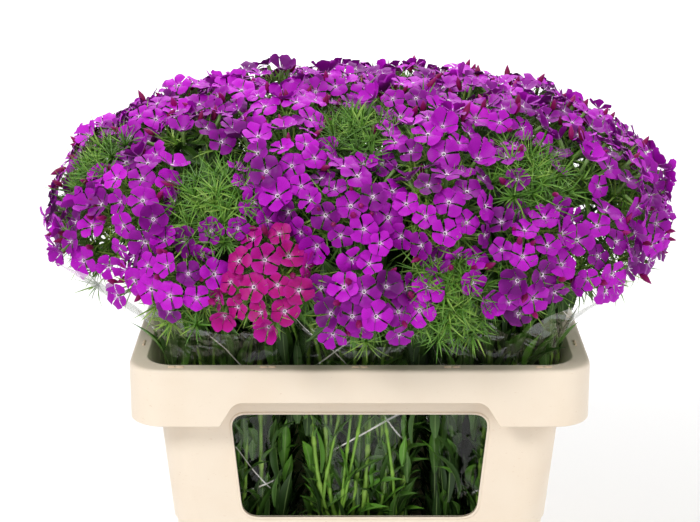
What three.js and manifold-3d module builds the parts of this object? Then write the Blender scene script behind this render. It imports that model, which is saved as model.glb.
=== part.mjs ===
// A florist's trade bucket of cut dianthus: six sleeved bunches standing in water.
// Millimetres, +Z up. The origin is the middle of the bucket's underside, and -Y is the front.
import * as THREE from "three";
import { mergeVertices } from "three/addons/utils/BufferGeometryUtils.js";
import Module from "manifold-3d";

// Bucket
const BUCKET_HEIGHT = 340;
const RIM_LENGTH = 400;
const RIM_WIDTH = 300;
const RIM_RADIUS = 30;
const RIM_FILLET = 2.5;
const FLANGE_WIDTH = 15.5;
const SKIRT_DROP = 52;
const WALL = 3;
const FLOOR = 4;
const BASE_LENGTH = 302.6;
const BASE_WIDTH = 202.6;
const BODY_RADIUS = 27;
const TAPER = 0.0893; // half-width gained for each millimetre of height
const LIP_DEPTH = 12;
const STEP_HEIGHT = 182;
const STEP_IN = 1.8;
const BASE_CHAMFER = 3;
const CORNER_SEGMENTS = 4;

// Windows in both long walls, and the notch that the skirt leaves over each
const WINDOW_TOP = 291;
const WINDOW_BOTTOM = 189;
const WINDOW_TOP_WIDTH = 226;
const WINDOW_BOTTOM_WIDTH = 208;
const WINDOW_RADIUS = 15;
const NOTCH_TOP = 310;
const NOTCH_TOP_WIDTH = 216;
const NOTCH_BOTTOM_WIDTH = 244;
const NOTCH_RADIUS = 8;

// Water and the plain holes that the bunches' feet stand in
const WATER_LEVEL = 66;
const WATER_HOLE = 30;
const GAP = 0.4; // between pieces that touch
const SMALLEST_STEP = 0.06; // slivers flatter than this are smoothed out of a bunch's greenery

// Bunches, in a grid of three by two
const COLUMNS = 3;
const ROWS = 2;
const FLARE_START = 350;
const FLARE = 0.5; // how far the space widens for each millimetre above the flare's start

// Sleeves of clear film
const SLEEVE_BOTTOM = 197;
const SLEEVE_SIDE_TOP = 374;
const SLEEVE_INNER_TOP = 398;
const WING_TOPS = { 1: 400, 3: 394, 4: 392, 6: 392 }; // the corner sleeves' wings, by bunch number
const WING_SPREAD = 0.9; // how far a wing leans out for each millimetre above the sides' top
const SLEEVE_THICKNESS = 0.9;
const SLEEVE_WAIST = 0.76; // share of its cell that a sleeve fills at its bottom
const SLEEVE_PUCKER = 0.05;

// The dome of flower heads
const DOME_LENGTH = 508;
const DOME_WIDTH = 384;
const DOME_RISE = 130;
const DOME_CENTRE = 412;
const DOME_POWER = 2.4; // 2 gives an ellipsoid, more gives a flatter top and steeper sides
const PLAN_POWER = 2.5; // the same for the dome's outline seen from above
const END_LIFT = 30; // how much higher the dome sits at its two ends
const LOWEST_PETAL = 374; // at the middle of the long sides
const SITE_COUNT = 54;
const SITE_SPACING = 86;
const SITE_ROUNDS = 80;
const GOLDEN_ANGLE = Math.PI * (3 - Math.sqrt(5));
const FIRST_TURN = 0.6;
const TUFT_SITES = [8, 17, 22, 24, 26, 31, 33, 41, 43, 48, 50];

// One flower head: heights along its axis, then sizes in millimetres for a head of scale 1
const CORE_HEIGHT = 9;
const RING_HEIGHT = 16;
const TOP_HEIGHT = 28;
const CORE_TOP = 5;
const CORE_BOTTOM = 8;
const PETALS = 5;
const TOP_FLORET = 13.6;
const RING_FLORET = 14.4;
const RING_DISTANCE = 25;
const RING_TILT = 0.55;
const MOST_STRETCH = 1.5; // of a floret that has room beside it
const HEAD_GAP = 0.5; // from a head to the plane halfway to its neighbour
const NOTCH_DEPTH = 0.58; // where the petals part, as a share of a floret's radius
const PETAL_HALF_WIDTH = 0.5; // radians round the floret's eye

// Stems, leaves and tufts of needle bracts
const STEM_RADIUS = 3;
const STEM_SIDES = 3;
const CORE_SIDES = 6;
const CORE_DEPTH = 34; // how far under the dome the core ends
const CORE_LEVELS = [
  [0.16, 150],
  [0.4, 215],
  [0.5, 320],
  [0.64, 384],
  [0.7, 440],
  [0.36, 480],
]; // share of the cell, height
const FOOT_RADIUS = 17;
const FEET = 6;
const FOOT_TURN = 0.37; // radians from one bunch's ring of stem feet to the next
const LEAVES_LOW = 5;
const LEAVES_MIDDLE = 6;
const LEAVES_HIGH = 5;
const LEAF_SLENDERNESS = 4.5;
const PAIR_DEPTH = 20; // how far under its flower head a stem bears its last pair of leaves
const PAIR_REACH = 44;
const PAIR_WIDTH = 13;
const LEAF_KEEL = 2.2;
const GREENERY_SEEDS = [87, 43, 41, 44, 42, 46];
const TUFT_CORE = 8;
const NEEDLE_LENGTH = 36;
const TUFT_LOWEST = -0.35; // needles grow where the core faces further up than this

const wasm = await Module();
wasm.setup();
const { Vector3 } = THREE;
const UP = new Vector3(0, 0, 1);
const EAST = new Vector3(1, 0, 0);

function materialOf(color, roughness, options = {}) {
  return new THREE.MeshStandardMaterial({ color, roughness, metalness: 0, ...options });
}

const CREAM = materialOf(0xf3e2cb, 0.45);
const FILM = materialOf(0xeef2f0, 0.15, { transparent: true, opacity: 0.25 });
const WATER = materialOf(0xc9d6cf, 0.05, { transparent: true, opacity: 0.5 });
const GREEN = materialOf(0x4d7a22, 0.6);
const MAGENTA = materialOf(0xb016c4, 0.55);

// A repeatable random number from 0 to 1
function seeded(seed) {
  let state = seed;
  return () => {
    state = (state * 16807) % 2147483647;
    return state / 2147483647;
  };
}

// A closed geometry as a solid
function asSolid(geometry) {
  const bare = new THREE.BufferGeometry();
  bare.setAttribute("position", geometry.getAttribute("position").clone());
  if (geometry.index) bare.setIndex(geometry.index.clone());
  const merged = mergeVertices(bare, 1e-4);
  const index = [];
  for (let i = 0; i < merged.index.count; i += 3) {
    const [a, b, c] = merged.index.array.slice(i, i + 3);
    if (a !== b && b !== c && c !== a) index.push(a, b, c); // a point's own ring has no area
  }
  return new wasm.Manifold(
    new wasm.Mesh({
      numProp: 3,
      vertProperties: new Float32Array(merged.attributes.position.array),
      triVerts: new Uint32Array(index),
    }),
  );
}

function asGeometry(solid) {
  const mesh = solid.getMesh();
  const geometry = new THREE.BufferGeometry();
  geometry.setAttribute("position", new THREE.BufferAttribute(mesh.vertProperties, 3));
  geometry.setIndex(new THREE.BufferAttribute(mesh.triVerts, 1));
  const flat = geometry.toNonIndexed();
  flat.computeVertexNormals();
  return flat;
}

function joined(solids) {
  return solids.reduce((all, one) => all.add(one));
}

// The largest of the bodies that a join leaves
function largest(solid) {
  return solid.decompose().reduce((a, b) => (a.volume() > b.volume() ? a : b));
}

// A closed skin over rings of points, each ring anticlockwise seen from the last one's end.
// From the ring turnedFrom on, quads are split the other way, so a thin wall is alike on both faces.
function stitched(rings, closed = false, turnedFrom = Infinity) {
  const count = rings[0].length;
  const positions = rings.flat().flatMap((p) => [p.x, p.y, p.z]);
  const index = [];
  const bands = closed ? rings.length : rings.length - 1;
  for (let k = 0; k < bands; k += 1) {
    const low = k * count;
    const high = ((k + 1) % rings.length) * count;
    for (let i = 0; i < count; i += 1) {
      const next = (i + 1) % count;
      if (k < turnedFrom) {
        index.push(low + i, low + next, high + next, low + i, high + next, high + i);
      } else {
        index.push(low + i, low + next, high + i, low + next, high + next, high + i);
      }
    }
  }
  if (!closed) {
    const last = (rings.length - 1) * count;
    for (let i = 1; i < count - 1; i += 1) {
      index.push(0, i + 1, i, last, last + i, last + i + 1);
    }
  }
  const geometry = new THREE.BufferGeometry();
  geometry.setAttribute("position", new THREE.Float32BufferAttribute(positions, 3));
  geometry.setIndex(index);
  return geometry;
}

// Two unit vectors square to a direction
function sideways(direction, helper = Math.abs(direction.z) < 0.9 ? UP : EAST) {
  const right = new Vector3().crossVectors(helper, direction).normalize();
  return [right, new Vector3().crossVectors(direction, right)];
}

function ringAround(centre, direction, radius, sides, turn = 0, helper = undefined) {
  const [right, front] = sideways(direction, helper);
  return Array.from({ length: sides }, (_, i) => {
    const angle = turn + (2 * Math.PI * i) / sides;
    return centre
      .clone()
      .addScaledVector(right, radius * Math.cos(angle))
      .addScaledVector(front, radius * Math.sin(angle));
  });
}

function roundedRectangle(halfX, halfY, radius, z) {
  const points = [];
  for (let corner = 0; corner < 4; corner += 1) {
    const signX = corner === 0 || corner === 3 ? 1 : -1;
    const signY = corner < 2 ? 1 : -1;
    for (let i = 0; i <= CORNER_SEGMENTS; i += 1) {
      const angle = (Math.PI / 2) * (corner + i / CORNER_SEGMENTS);
      points.push(
        new Vector3(
          signX * (halfX - radius) + radius * Math.cos(angle),
          signY * (halfY - radius) + radius * Math.sin(angle),
          z,
        ),
      );
    }
  }
  return points;
}

function bodyRing(z, inset, cornerRadius = BODY_RADIUS) {
  return roundedRectangle(
    BASE_LENGTH / 2 + TAPER * z - inset,
    BASE_WIDTH / 2 + TAPER * z - inset,
    cornerRadius - inset,
    z,
  );
}

function rimRing(z, inset) {
  return roundedRectangle(
    RIM_LENGTH / 2 - inset,
    RIM_WIDTH / 2 - inset,
    RIM_RADIUS - inset / 3,
    z,
  );
}

// A prism along Y over a symmetric trapezium with rounded corners
function trapeziumPrism(bottom, top, bottomWidth, topWidth, radius, fromY, toY) {
  const corners = [
    new THREE.Vector2(-bottomWidth / 2, bottom),
    new THREE.Vector2(bottomWidth / 2, bottom),
    new THREE.Vector2(topWidth / 2, top),
    new THREE.Vector2(-topWidth / 2, top),
  ];
  const shape = new THREE.Shape();
  corners.forEach((corner, i) => {
    const before = corners[(i + 3) % 4].clone().sub(corner).setLength(radius).add(corner);
    const after = corners[(i + 1) % 4].clone().sub(corner).setLength(radius).add(corner);
    if (i === 0) shape.moveTo(before.x, before.y);
    else shape.lineTo(before.x, before.y);
    shape.quadraticCurveTo(corner.x, corner.y, after.x, after.y);
  });
  const prism = new THREE.ExtrudeGeometry(shape, {
    depth: toY - fromY,
    bevelEnabled: false,
    curveSegments: 4,
  });
  prism.rotateX(Math.PI / 2);
  prism.translate(0, toY, 0);
  return asSolid(prism);
}

function bucket() {
  const skirtBottom = BUCKET_HEIGHT - SKIRT_DROP;
  const flangeUnder = BUCKET_HEIGHT - WALL;
  const lipBottom = BUCKET_HEIGHT - LIP_DEPTH;
  const shell = stitched([
    bodyRing(0, BASE_CHAMFER),
    bodyRing(BASE_CHAMFER, STEP_IN),
    bodyRing(STEP_HEIGHT - STEP_IN, STEP_IN),
    bodyRing(STEP_HEIGHT, 0),
    bodyRing(lipBottom - WALL, 0),
    rimRing(flangeUnder, FLANGE_WIDTH - WALL),
    rimRing(flangeUnder, WALL),
    rimRing(skirtBottom, WALL),
    rimRing(skirtBottom, 0),
    rimRing(BUCKET_HEIGHT - RIM_FILLET, 0),
    rimRing(BUCKET_HEIGHT, RIM_FILLET),
    rimRing(BUCKET_HEIGHT, FLANGE_WIDTH),
    bodyRing(lipBottom, WALL),
    bodyRing(FLOOR, WALL + STEP_IN),
  ]);
  const reach = RIM_WIDTH / 2 + 2;
  const windows = trapeziumPrism(
    WINDOW_BOTTOM,
    WINDOW_TOP,
    WINDOW_BOTTOM_WIDTH,
    WINDOW_TOP_WIDTH,
    WINDOW_RADIUS,
    -reach,
    reach,
  );
  const notch = (from, to) =>
    trapeziumPrism(
      skirtBottom - NOTCH_RADIUS,
      NOTCH_TOP,
      NOTCH_BOTTOM_WIDTH + NOTCH_RADIUS,
      NOTCH_TOP_WIDTH,
      NOTCH_RADIUS,
      from,
      to,
    );
  const inside = RIM_WIDTH / 2 - WALL - 1;
  return asSolid(shell)
    .subtract(windows)
    .subtract(notch(-reach, -inside))
    .subtract(notch(inside, reach));
}

// Half-sizes of the space that all bunches share at a height
function share(z) {
  const inside = TAPER * Math.min(z, BUCKET_HEIGHT - LIP_DEPTH) - WALL;
  const flare = FLARE * Math.max(0, z - FLARE_START);
  return { x: BASE_LENGTH / 2 + inside + flare, y: BASE_WIDTH / 2 + inside + flare };
}

const cells = [];
for (let row = 0; row < ROWS; row += 1) {
  for (let column = 0; column < COLUMNS; column += 1) {
    cells.push({
      u: (2 * column + 1) / COLUMNS - 1,
      v: (2 * row + 1) / ROWS - 1,
      halfU: 1 / COLUMNS,
      halfV: 1 / ROWS,
      number: cells.length + 1,
      sites: [],
    });
  }
}

// The point at a share of the way from a cell's middle to its sides
function inCell(cell, across, along, z) {
  const half = share(z);
  return new Vector3(
    (cell.u + across * cell.halfU) * half.x,
    (cell.v + along * cell.halfV) * half.y,
    z,
  );
}

function water() {
  const top = bodyRing(WATER_LEVEL, WALL + STEP_IN + GAP);
  const bottom = bodyRing(FLOOR + GAP, WALL + STEP_IN + GAP);
  let body = asSolid(stitched([bottom, top]));
  for (const cell of cells) {
    const foot = inCell(cell, 0, 0, WATER_LEVEL);
    const low = foot.clone().setZ(0);
    const high = foot.clone().setZ(WATER_LEVEL + 10);
    body = body.subtract(
      asSolid(
        stitched([
          ringAround(low, UP, WATER_HOLE, CORE_SIDES),
          ringAround(high, UP, WATER_HOLE, CORE_SIDES),
        ]),
      ),
    );
  }
  return body;
}

// A sleeve's outline in its cell, with a point at each side's middle and two at each corner
const SLEEVE_OUTLINE = [
  [1, 0],
  [0.97, 0.66],
  [0.66, 0.97],
  [0, 1],
  [-0.66, 0.97],
  [-0.97, 0.66],
  [-1, 0],
  [-0.97, -0.66],
  [-0.66, -0.97],
  [0, -1],
  [0.66, -0.97],
  [0.97, -0.66],
];

function sleeve(cell) {
  const random = seeded(410 + cell.number);
  const puckers = SLEEVE_OUTLINE.map((_, i) => (i % 3 ? 1 - SLEEVE_PUCKER * random() : 1));
  const outer = (a, b) => ({
    x: Math.abs(cell.u + a * cell.halfU) > 0.8 ? Math.sign(a) : 0,
    y: Math.abs(cell.v + b * cell.halfV) > 0.8 ? Math.sign(b) : 0,
  });
  const ring = (size, height, inset) =>
    SLEEVE_OUTLINE.map(([a, b], i) => {
      const z = height(a, b);
      const half = share(z);
      const scale = size * puckers[i];
      const across = scale - inset / (cell.halfU * half.x);
      const along = scale - inset / (cell.halfV * half.y);
      const side = outer(a, b);
      const wing = side.x && side.y ? WING_SPREAD * Math.max(0, z - SLEEVE_SIDE_TOP) : 0;
      return inCell(cell, a * across, b * along, z).add(
        new Vector3(side.x * wing, side.y * wing * 0.5, 0),
      );
    });
  const top = (a, b) => {
    const side = outer(a, b);
    if (side.x && side.y) return WING_TOPS[cell.number];
    return side.x || side.y ? SLEEVE_SIDE_TOP : SLEEVE_INNER_TOP;
  };
  const levels = [
    [SLEEVE_WAIST, () => SLEEVE_BOTTOM],
    [1, () => BUCKET_HEIGHT - LIP_DEPTH],
    [1, () => FLARE_START],
    [1, top],
  ];
  const outside = levels.map(([size, height]) => ring(size, height, GAP));
  const inside = levels.map(([size, height]) => ring(size, height, GAP + SLEEVE_THICKNESS));
  return asSolid(stitched([...outside, ...inside.reverse()], true, levels.length));
}

const DOME_HALF = new Vector3(DOME_LENGTH / 2, DOME_WIDTH / 2, DOME_RISE);

function planSize(point) {
  const x = Math.abs(point.x / DOME_HALF.x) ** PLAN_POWER;
  const y = Math.abs(point.y / DOME_HALF.y) ** PLAN_POWER;
  return (x + y) ** (1 / PLAN_POWER);
}

// Moves a point, given from the dome's centre, along its own direction onto the dome
function ontoDome(point) {
  point.z = Math.max(0, point.z);
  const size = planSize(point) ** DOME_POWER + (point.z / DOME_HALF.z) ** DOME_POWER;
  return point.divideScalar(size ** (1 / DOME_POWER));
}

function domeNormal(point) {
  const slope = planSize(point) ** (DOME_POWER - PLAN_POWER);
  const across = (value, half) =>
    (Math.sign(value) * slope * Math.abs(value / half) ** (PLAN_POWER - 1)) / half;
  return new Vector3(
    across(point.x, DOME_HALF.x),
    across(point.y, DOME_HALF.y),
    (point.z / DOME_HALF.z) ** (DOME_POWER - 1) / DOME_HALF.z,
  ).normalize();
}

// Places over the dome for flower heads and tufts: a golden-angle spiral, then evened out
function domeSites() {
  const points = Array.from({ length: SITE_COUNT }, (_, i) => {
    const rise = 1 - (i + 0.5) / SITE_COUNT;
    const out = Math.sqrt(1 - rise * rise);
    const turn = FIRST_TURN + i * GOLDEN_ANGLE;
    return ontoDome(
      new Vector3(out * Math.cos(turn), out * Math.sin(turn), rise).multiply(DOME_HALF),
    );
  });
  for (let round = 0; round < SITE_ROUNDS; round += 1) {
    for (const point of points) {
      const push = new Vector3();
      for (const other of points) {
        const apart = point.distanceTo(other);
        if (other === point || apart > SITE_SPACING) continue;
        push.addScaledVector(point.clone().sub(other), (SITE_SPACING - apart) / apart / 6);
      }
      ontoDome(point.add(push));
    }
  }
  const sites = points.map((point, i) => {
    const normal = domeNormal(point);
    const lift = END_LIFT * (point.x / DOME_HALF.x) ** 2;
    const base = point.clone().setZ(DOME_CENTRE + point.z + lift * (1 - point.z / DOME_RISE));
    return {
      number: i + 1,
      point: base,
      normal,
      middle: base.clone().addScaledVector(normal, RING_HEIGHT),
      lowest: LOWEST_PETAL + lift,
      tuft: TUFT_SITES.includes(i + 1),
    };
  });
  for (const site of sites) {
    const others = sites.filter((other) => other !== site);
    site.neighbours = others.map((other) => other.middle.clone().sub(site.middle));
    const column = Math.floor(((site.point.x / DOME_HALF.x) * 0.95 + 1) * 0.5 * COLUMNS);
    const row = site.point.y < 0 ? 0 : 1;
    cells[row * COLUMNS + column].sites.push(site);
  }
  return sites;
}

// How far points round a site's middle can be scaled before one nears a neighbour's half
function roomFor(site, offsets) {
  let room = Infinity;
  for (const offset of offsets) {
    for (const way of site.neighbours) {
      const apart = way.length();
      const towards = offset.dot(way) / apart;
      if (towards > 0) room = Math.min(room, (apart / 2 - HEAD_GAP) / towards);
    }
    if (offset.z < 0) room = Math.min(room, (site.middle.z - site.lowest) / -offset.z);
  }
  return room;
}

// The outline of a five-petalled floret: two shoulders and a notch for each petal
function petalOutline(centre, axis, outward, radius) {
  const level = outward.clone().addScaledVector(axis, -outward.dot(axis)).normalize();
  const across = new Vector3().crossVectors(axis, level);
  const half = (PETAL_HALF_WIDTH * PETALS) / (2 * Math.PI);
  const points = [];
  for (let k = 0; k < PETALS; k += 1) {
    for (const [step, reach, lift] of [
      [k - half, 1, 0.06],
      [k + half, 1, 0.06],
      [k + 0.5, NOTCH_DEPTH, -0.02],
    ]) {
      const angle = (step * 2 * Math.PI) / PETALS;
      points.push(
        centre
          .clone()
          .addScaledVector(level, radius * reach * Math.cos(angle))
          .addScaledVector(across, radius * reach * Math.sin(angle))
          .addScaledVector(axis, radius * lift),
      );
    }
  }
  return points;
}

// Adds a floret over a loop of five points: a funnel up to its outline, then its face
function addFloret(triangles, loop, outline, centre, axis) {
  const eye = centre.clone().addScaledVector(axis, -1.8);
  for (let k = 0; k < PETALS; k += 1) {
    const here = loop[k];
    const next = loop[(k + 1) % PETALS];
    const [left, right, notch] = outline.slice(3 * k, 3 * k + 3);
    const nextLeft = outline[(3 * k + 3) % (3 * PETALS)];
    triangles.push([here, right, left], [here, notch, right], [here, next, notch]);
    triangles.push([next, nextLeft, notch]);
    triangles.push([eye, left, right], [eye, right, notch], [eye, notch, nextLeft]);
  }
}

function solidOfTriangles(triangles) {
  const corners = triangles.flat().flatMap((corner) => corner.toArray());
  const geometry = new THREE.BufferGeometry();
  geometry.setAttribute("position", new THREE.Float32BufferAttribute(corners, 3));
  return asSolid(geometry);
}

// A flower head: a small core whose top and five sides each open into a floret
function flowerHead(site) {
  const random = seeded(77 + site.number);
  const { point, normal, middle } = site;
  const [right, front] = sideways(normal);
  const spin = random() * 2;
  const outwardAt = (step) => {
    const angle = spin + (step * 2 * Math.PI) / PETALS;
    return right.clone().multiplyScalar(Math.cos(angle)).addScaledVector(front, Math.sin(angle));
  };
  const at = (radius, step, height) =>
    point.clone().addScaledVector(outwardAt(step), radius).addScaledVector(normal, height);
  const steps = [0, 1, 2, 3, 4];
  const top = steps.map((i) => at(CORE_TOP, i, CORE_HEIGHT));
  const low = steps.map((i) => at(CORE_BOTTOM * 0.85, i, 0));
  const between = steps.map((i) => at(CORE_BOTTOM, i + 0.5, 0));
  const triangles = [];
  const crown = at(0, 0, TOP_HEIGHT);
  const crownOutline = petalOutline(crown, normal, outwardAt(0), TOP_FLORET);
  addFloret(triangles, top, crownOutline, crown, normal);
  for (const i of steps) {
    const next = (i + 1) % PETALS;
    const loop = [between[i], low[next], top[next], top[i], low[i]];
    const tilt = RING_TILT + 0.16 * (random() - 0.5);
    const outward = outwardAt(i + 0.5);
    const axis = outward
      .clone()
      .multiplyScalar(Math.sin(tilt))
      .addScaledVector(normal, Math.cos(tilt));
    const plain = outward.clone().multiplyScalar(RING_DISTANCE);
    const stretch = Math.min(
      MOST_STRETCH,
      roomFor(site, petalOutline(plain, axis, outward, RING_FLORET)),
    );
    const centre = middle.clone().addScaledVector(plain, stretch);
    const outline = petalOutline(centre, axis, outward, RING_FLORET * stretch);
    addFloret(triangles, loop, outline, centre, axis);
    triangles.push([point, low[next], between[i]], [point, between[i], low[i]]);
  }
  return solidOfTriangles(triangles);
}

// A rod along a quadratic curve, with its rings turned alike
function rod(from, bend, to, radius, steps) {
  const curve = new THREE.QuadraticBezierCurve3(from, bend, to);
  const whole = to.clone().sub(from).normalize();
  const helper = sideways(whole)[0];
  const rings = [];
  for (let i = 0; i <= steps; i += 1) {
    const t = i / steps;
    rings.push(ringAround(curve.getPoint(t), curve.getTangent(t), radius, STEM_SIDES, 0, helper));
  }
  return asSolid(stitched(rings));
}

// A lance-shaped leaf: a thin folded blade that arches from its base to its tip
function leaf(base, tip, outward, width) {
  const along = tip.clone().sub(base);
  const across = new Vector3().crossVectors(along, outward).normalize();
  const up = new Vector3().crossVectors(across, along).normalize();
  const section = (t, half, arch) => {
    const middle = base.clone().addScaledVector(along, t).addScaledVector(up, arch);
    return [
      middle.clone().addScaledVector(across, half),
      middle.clone().addScaledVector(across, -half),
      middle.clone().addScaledVector(up, -LEAF_KEEL),
    ];
  };
  const rings = [
    section(0, width * 0.16, 0),
    section(0.42, width * 0.5, along.length() * 0.1),
    [tip, tip, tip],
  ];
  return asSolid(stitched(rings));
}

// A tuft of needle bracts: a small round core with a needle on each of its upper facets
function tuft(site) {
  const random = seeded(900 + site.number);
  const facets = new THREE.IcosahedronGeometry(TUFT_CORE, 1).getAttribute("position");
  const turn = new THREE.Quaternion().setFromUnitVectors(UP, site.normal);
  const triangles = [];
  for (let i = 0; i < facets.count; i += 3) {
    const corners = [0, 1, 2].map((k) =>
      new Vector3().fromBufferAttribute(facets, i + k).applyQuaternion(turn),
    );
    const way = corners[0].clone().add(corners[1]).add(corners[2]).normalize();
    corners.forEach((corner) => corner.add(site.middle));
    if (way.dot(site.normal) < TUFT_LOWEST) {
      triangles.push(corners);
      continue;
    }
    const reach = Math.min(NEEDLE_LENGTH, roomFor(site, [way]) - 1) * (0.82 + 0.18 * random());
    const tip = site.middle.clone().addScaledVector(way, reach);
    corners.forEach((corner, k) => triangles.push([corner, corners[(k + 1) % 3], tip]));
  }
  return solidOfTriangles(triangles);
}

// How far the bunches' space draws in where the dome over it does
function domeShare(z) {
  const half = share(z);
  const high = Math.min(0.97, Math.max(0, z + CORE_DEPTH - DOME_CENTRE) / DOME_RISE);
  const flat = (1 - high ** DOME_POWER) ** (1 / DOME_POWER);
  const x = Math.min(1, (flat * DOME_HALF.x - CORE_DEPTH) / half.x);
  const y = Math.min(1, (flat * DOME_HALF.y - CORE_DEPTH) / half.y);
  return new Vector3(x, y, 1);
}

// All that is green in one bunch: stems, leaves and tufts round a slim core of foliage
function greenery(cell) {
  const random = seeded(GREENERY_SEEDS[cell.number - 1]);
  const core = stitched(
    CORE_LEVELS.map(([size, z]) => {
      const dome = domeShare(z);
      return Array.from({ length: CORE_SIDES }, (_, i) => {
        const angle = (2 * Math.PI * i) / CORE_SIDES;
        return inCell(cell, size * Math.cos(angle), size * Math.sin(angle), z).multiply(dome);
      });
    }),
  );
  const pieces = [asSolid(core)];
  const footCentre = inCell(cell, 0, 0, WATER_LEVEL);
  for (let i = 0; i < FEET; i += 1) {
    const angle = FOOT_TURN * cell.number + (2 * Math.PI * i) / (FEET - 1);
    const spread = i === FEET - 1 ? 0 : FOOT_RADIUS;
    const foot = footCentre
      .clone()
      .add(new Vector3(spread * Math.cos(angle), spread * Math.sin(angle), 0))
      .setZ(FLOOR + GAP);
    const neck = inCell(
      cell,
      0.12 * Math.cos(angle) * Math.sign(spread),
      0.12 * Math.sin(angle) * Math.sign(spread),
      158,
    );
    pieces.push(rod(foot, foot.clone().lerp(neck, 0.5), neck, STEM_RADIUS, 1));
  }
  for (const site of cell.sites) {
    const { point, normal } = site;
    const end = point.clone().addScaledVector(normal, site.tuft ? RING_HEIGHT - 3 : -GAP);
    const half = share(BUCKET_HEIGHT);
    const towards = new Vector3(point.x / half.x, point.y / half.y, 0);
    towards.sub(new Vector3(cell.u, cell.v, 0)).clampLength(0, 0.3);
    const start = inCell(cell, towards.x, towards.y, Math.min(430, Math.max(340, point.z - 100)));
    const bend = end.clone().addScaledVector(normal, -0.45 * end.distanceTo(start));
    pieces.push(rod(start, bend, end, STEM_RADIUS, 2));
    if (site.tuft) {
      pieces.push(tuft(site));
      continue;
    }
    const joint = point.clone().addScaledVector(normal, -PAIR_DEPTH);
    const [right, front] = sideways(normal);
    const turn = Math.PI * 2 * random();
    for (const side of [0, Math.PI]) {
      const way = right
        .clone()
        .multiplyScalar(Math.cos(turn + side))
        .addScaledVector(front, Math.sin(turn + side));
      const reach = Math.min(PAIR_REACH, roomFor(site, [way]) - 2);
      const tip = point.clone().addScaledVector(way, reach).addScaledVector(normal, -4);
      pieces.push(leaf(joint, tip, normal, PAIR_WIDTH));
    }
  }
  const leafRound = (count, fromZ, rise, inner, outer) => {
    for (let i = 0; i < count; i += 1) {
      const angle = (2 * Math.PI * (i + random() * 0.5)) / count;
      const z = fromZ + 26 * random();
      const turned = angle + 0.3;
      const base = inCell(cell, inner * Math.cos(angle), inner * Math.sin(angle), z);
      const tip = inCell(cell, outer * Math.cos(turned), outer * Math.sin(turned), z + rise);
      const outward = new Vector3(Math.cos(angle), Math.sin(angle), 0);
      const length = base.distanceTo(tip);
      pieces.push(leaf(base, tip, outward, length / LEAF_SLENDERNESS));
    }
  };
  leafRound(LEAVES_LOW, 205, 66, 0.3, 0.76);
  leafRound(LEAVES_MIDDLE, 318, 52, 0.4, 0.88);
  leafRound(LEAVES_HIGH, 385, 50, 0.5, 1.1);
  return largest(joined(pieces)).simplify(SMALLEST_STEP);
}

const root = new THREE.Group();

function addPiece(name, solid, material) {
  const mesh = new THREE.Mesh(asGeometry(solid), material);
  mesh.name = name;
  root.add(mesh);
}

addPiece("bucket", bucket(), CREAM);
addPiece("water", water(), WATER);
const sites = domeSites();
for (const cell of cells) {
  addPiece(`greenery_${cell.number}`, greenery(cell), GREEN);
  addPiece(`sleeve_${cell.number}`, sleeve(cell), FILM);
}
for (const site of sites) {
  if (!site.tuft) addPiece(`flower_head_${site.number}`, flowerHead(site), MAGENTA);
}

export default root;
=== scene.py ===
"""A florist's trade bucket of cut dianthus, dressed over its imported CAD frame."""

import math
import random
from collections import namedtuple

import bmesh
import bpy
import numpy as np
from bpy.props import (
    FloatProperty,
    FloatVectorProperty,
    IntProperty,
    PointerProperty,
)
from mathutils import Matrix, Vector, noise


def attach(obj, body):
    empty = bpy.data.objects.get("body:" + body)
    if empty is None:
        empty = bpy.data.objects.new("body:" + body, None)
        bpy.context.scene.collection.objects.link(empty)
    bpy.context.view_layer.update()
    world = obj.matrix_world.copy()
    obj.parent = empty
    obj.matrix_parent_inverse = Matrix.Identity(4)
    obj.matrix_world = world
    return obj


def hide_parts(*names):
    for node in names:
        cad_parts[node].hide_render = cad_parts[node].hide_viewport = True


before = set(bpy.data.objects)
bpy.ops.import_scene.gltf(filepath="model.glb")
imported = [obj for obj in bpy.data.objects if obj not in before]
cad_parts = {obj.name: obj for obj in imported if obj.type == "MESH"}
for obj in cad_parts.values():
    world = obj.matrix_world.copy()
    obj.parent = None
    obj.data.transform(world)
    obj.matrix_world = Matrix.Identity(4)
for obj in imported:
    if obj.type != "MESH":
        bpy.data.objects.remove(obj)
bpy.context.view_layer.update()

bl_info = {
    "name": "Bucket of cut dianthus",
    "version": (1, 0, 0),
    "blender": (4, 5, 0),
    "location": "3D View > Sidebar > Dianthus",
    "description": "Builds a trade bucket of sleeved dianthus bunches",
    "category": "Add Mesh",
}

# Sizes of the bucket and its bunches in millimetres, as the CAD frame has them
BUCKET_HEIGHT = 340
RIM_LENGTH = 400
RIM_WIDTH = 300
RIM_RADIUS = 30
FLANGE_WIDTH = 15.5
SKIRT_BOTTOM = 288
WALL = 3
FLOOR = 4
BASE_LENGTH = 302.6
BASE_WIDTH = 202.6
BODY_RADIUS = 27
TAPER = 0.0893
LIP_BOTTOM = 328
STEP_HEIGHT = 182
STEP_IN = 1.8
WINDOW = (189, 291, 208, 226, 15)  # bottom, top, width at the bottom, width at the top, radius
NOTCH = (280, 310, 252, 216, 8)
COLUMNS = 3
ROWS = 2
FLARE_START = 350
FLARE = 0.5
FILM_GAP = 0.4
SLEEVE_WAIST = 0.76
SLEEVE_SIDE_TOP = 374
SLEEVE_INNER_TOP = 398
DOME = Vector((254, 192, 130))
DOME_CENTRE = 412
DOME_POWER = 2.4
PLAN_POWER = 2.5
END_LIFT = 30
LOWEST_PETAL = 374
SITE_COUNT = 54
SITE_SPACING = 86
SITE_ROUNDS = 80
FIRST_TURN = 0.6
TUFT_SITES = (8, 17, 22, 24, 26, 31, 33, 41, 43, 48, 50)
DENSE_TUFTS = (22, 48)
REDDER_HEADS = (34,)
GOLDEN_ANGLE = math.pi * (3 - math.sqrt(5))
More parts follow.
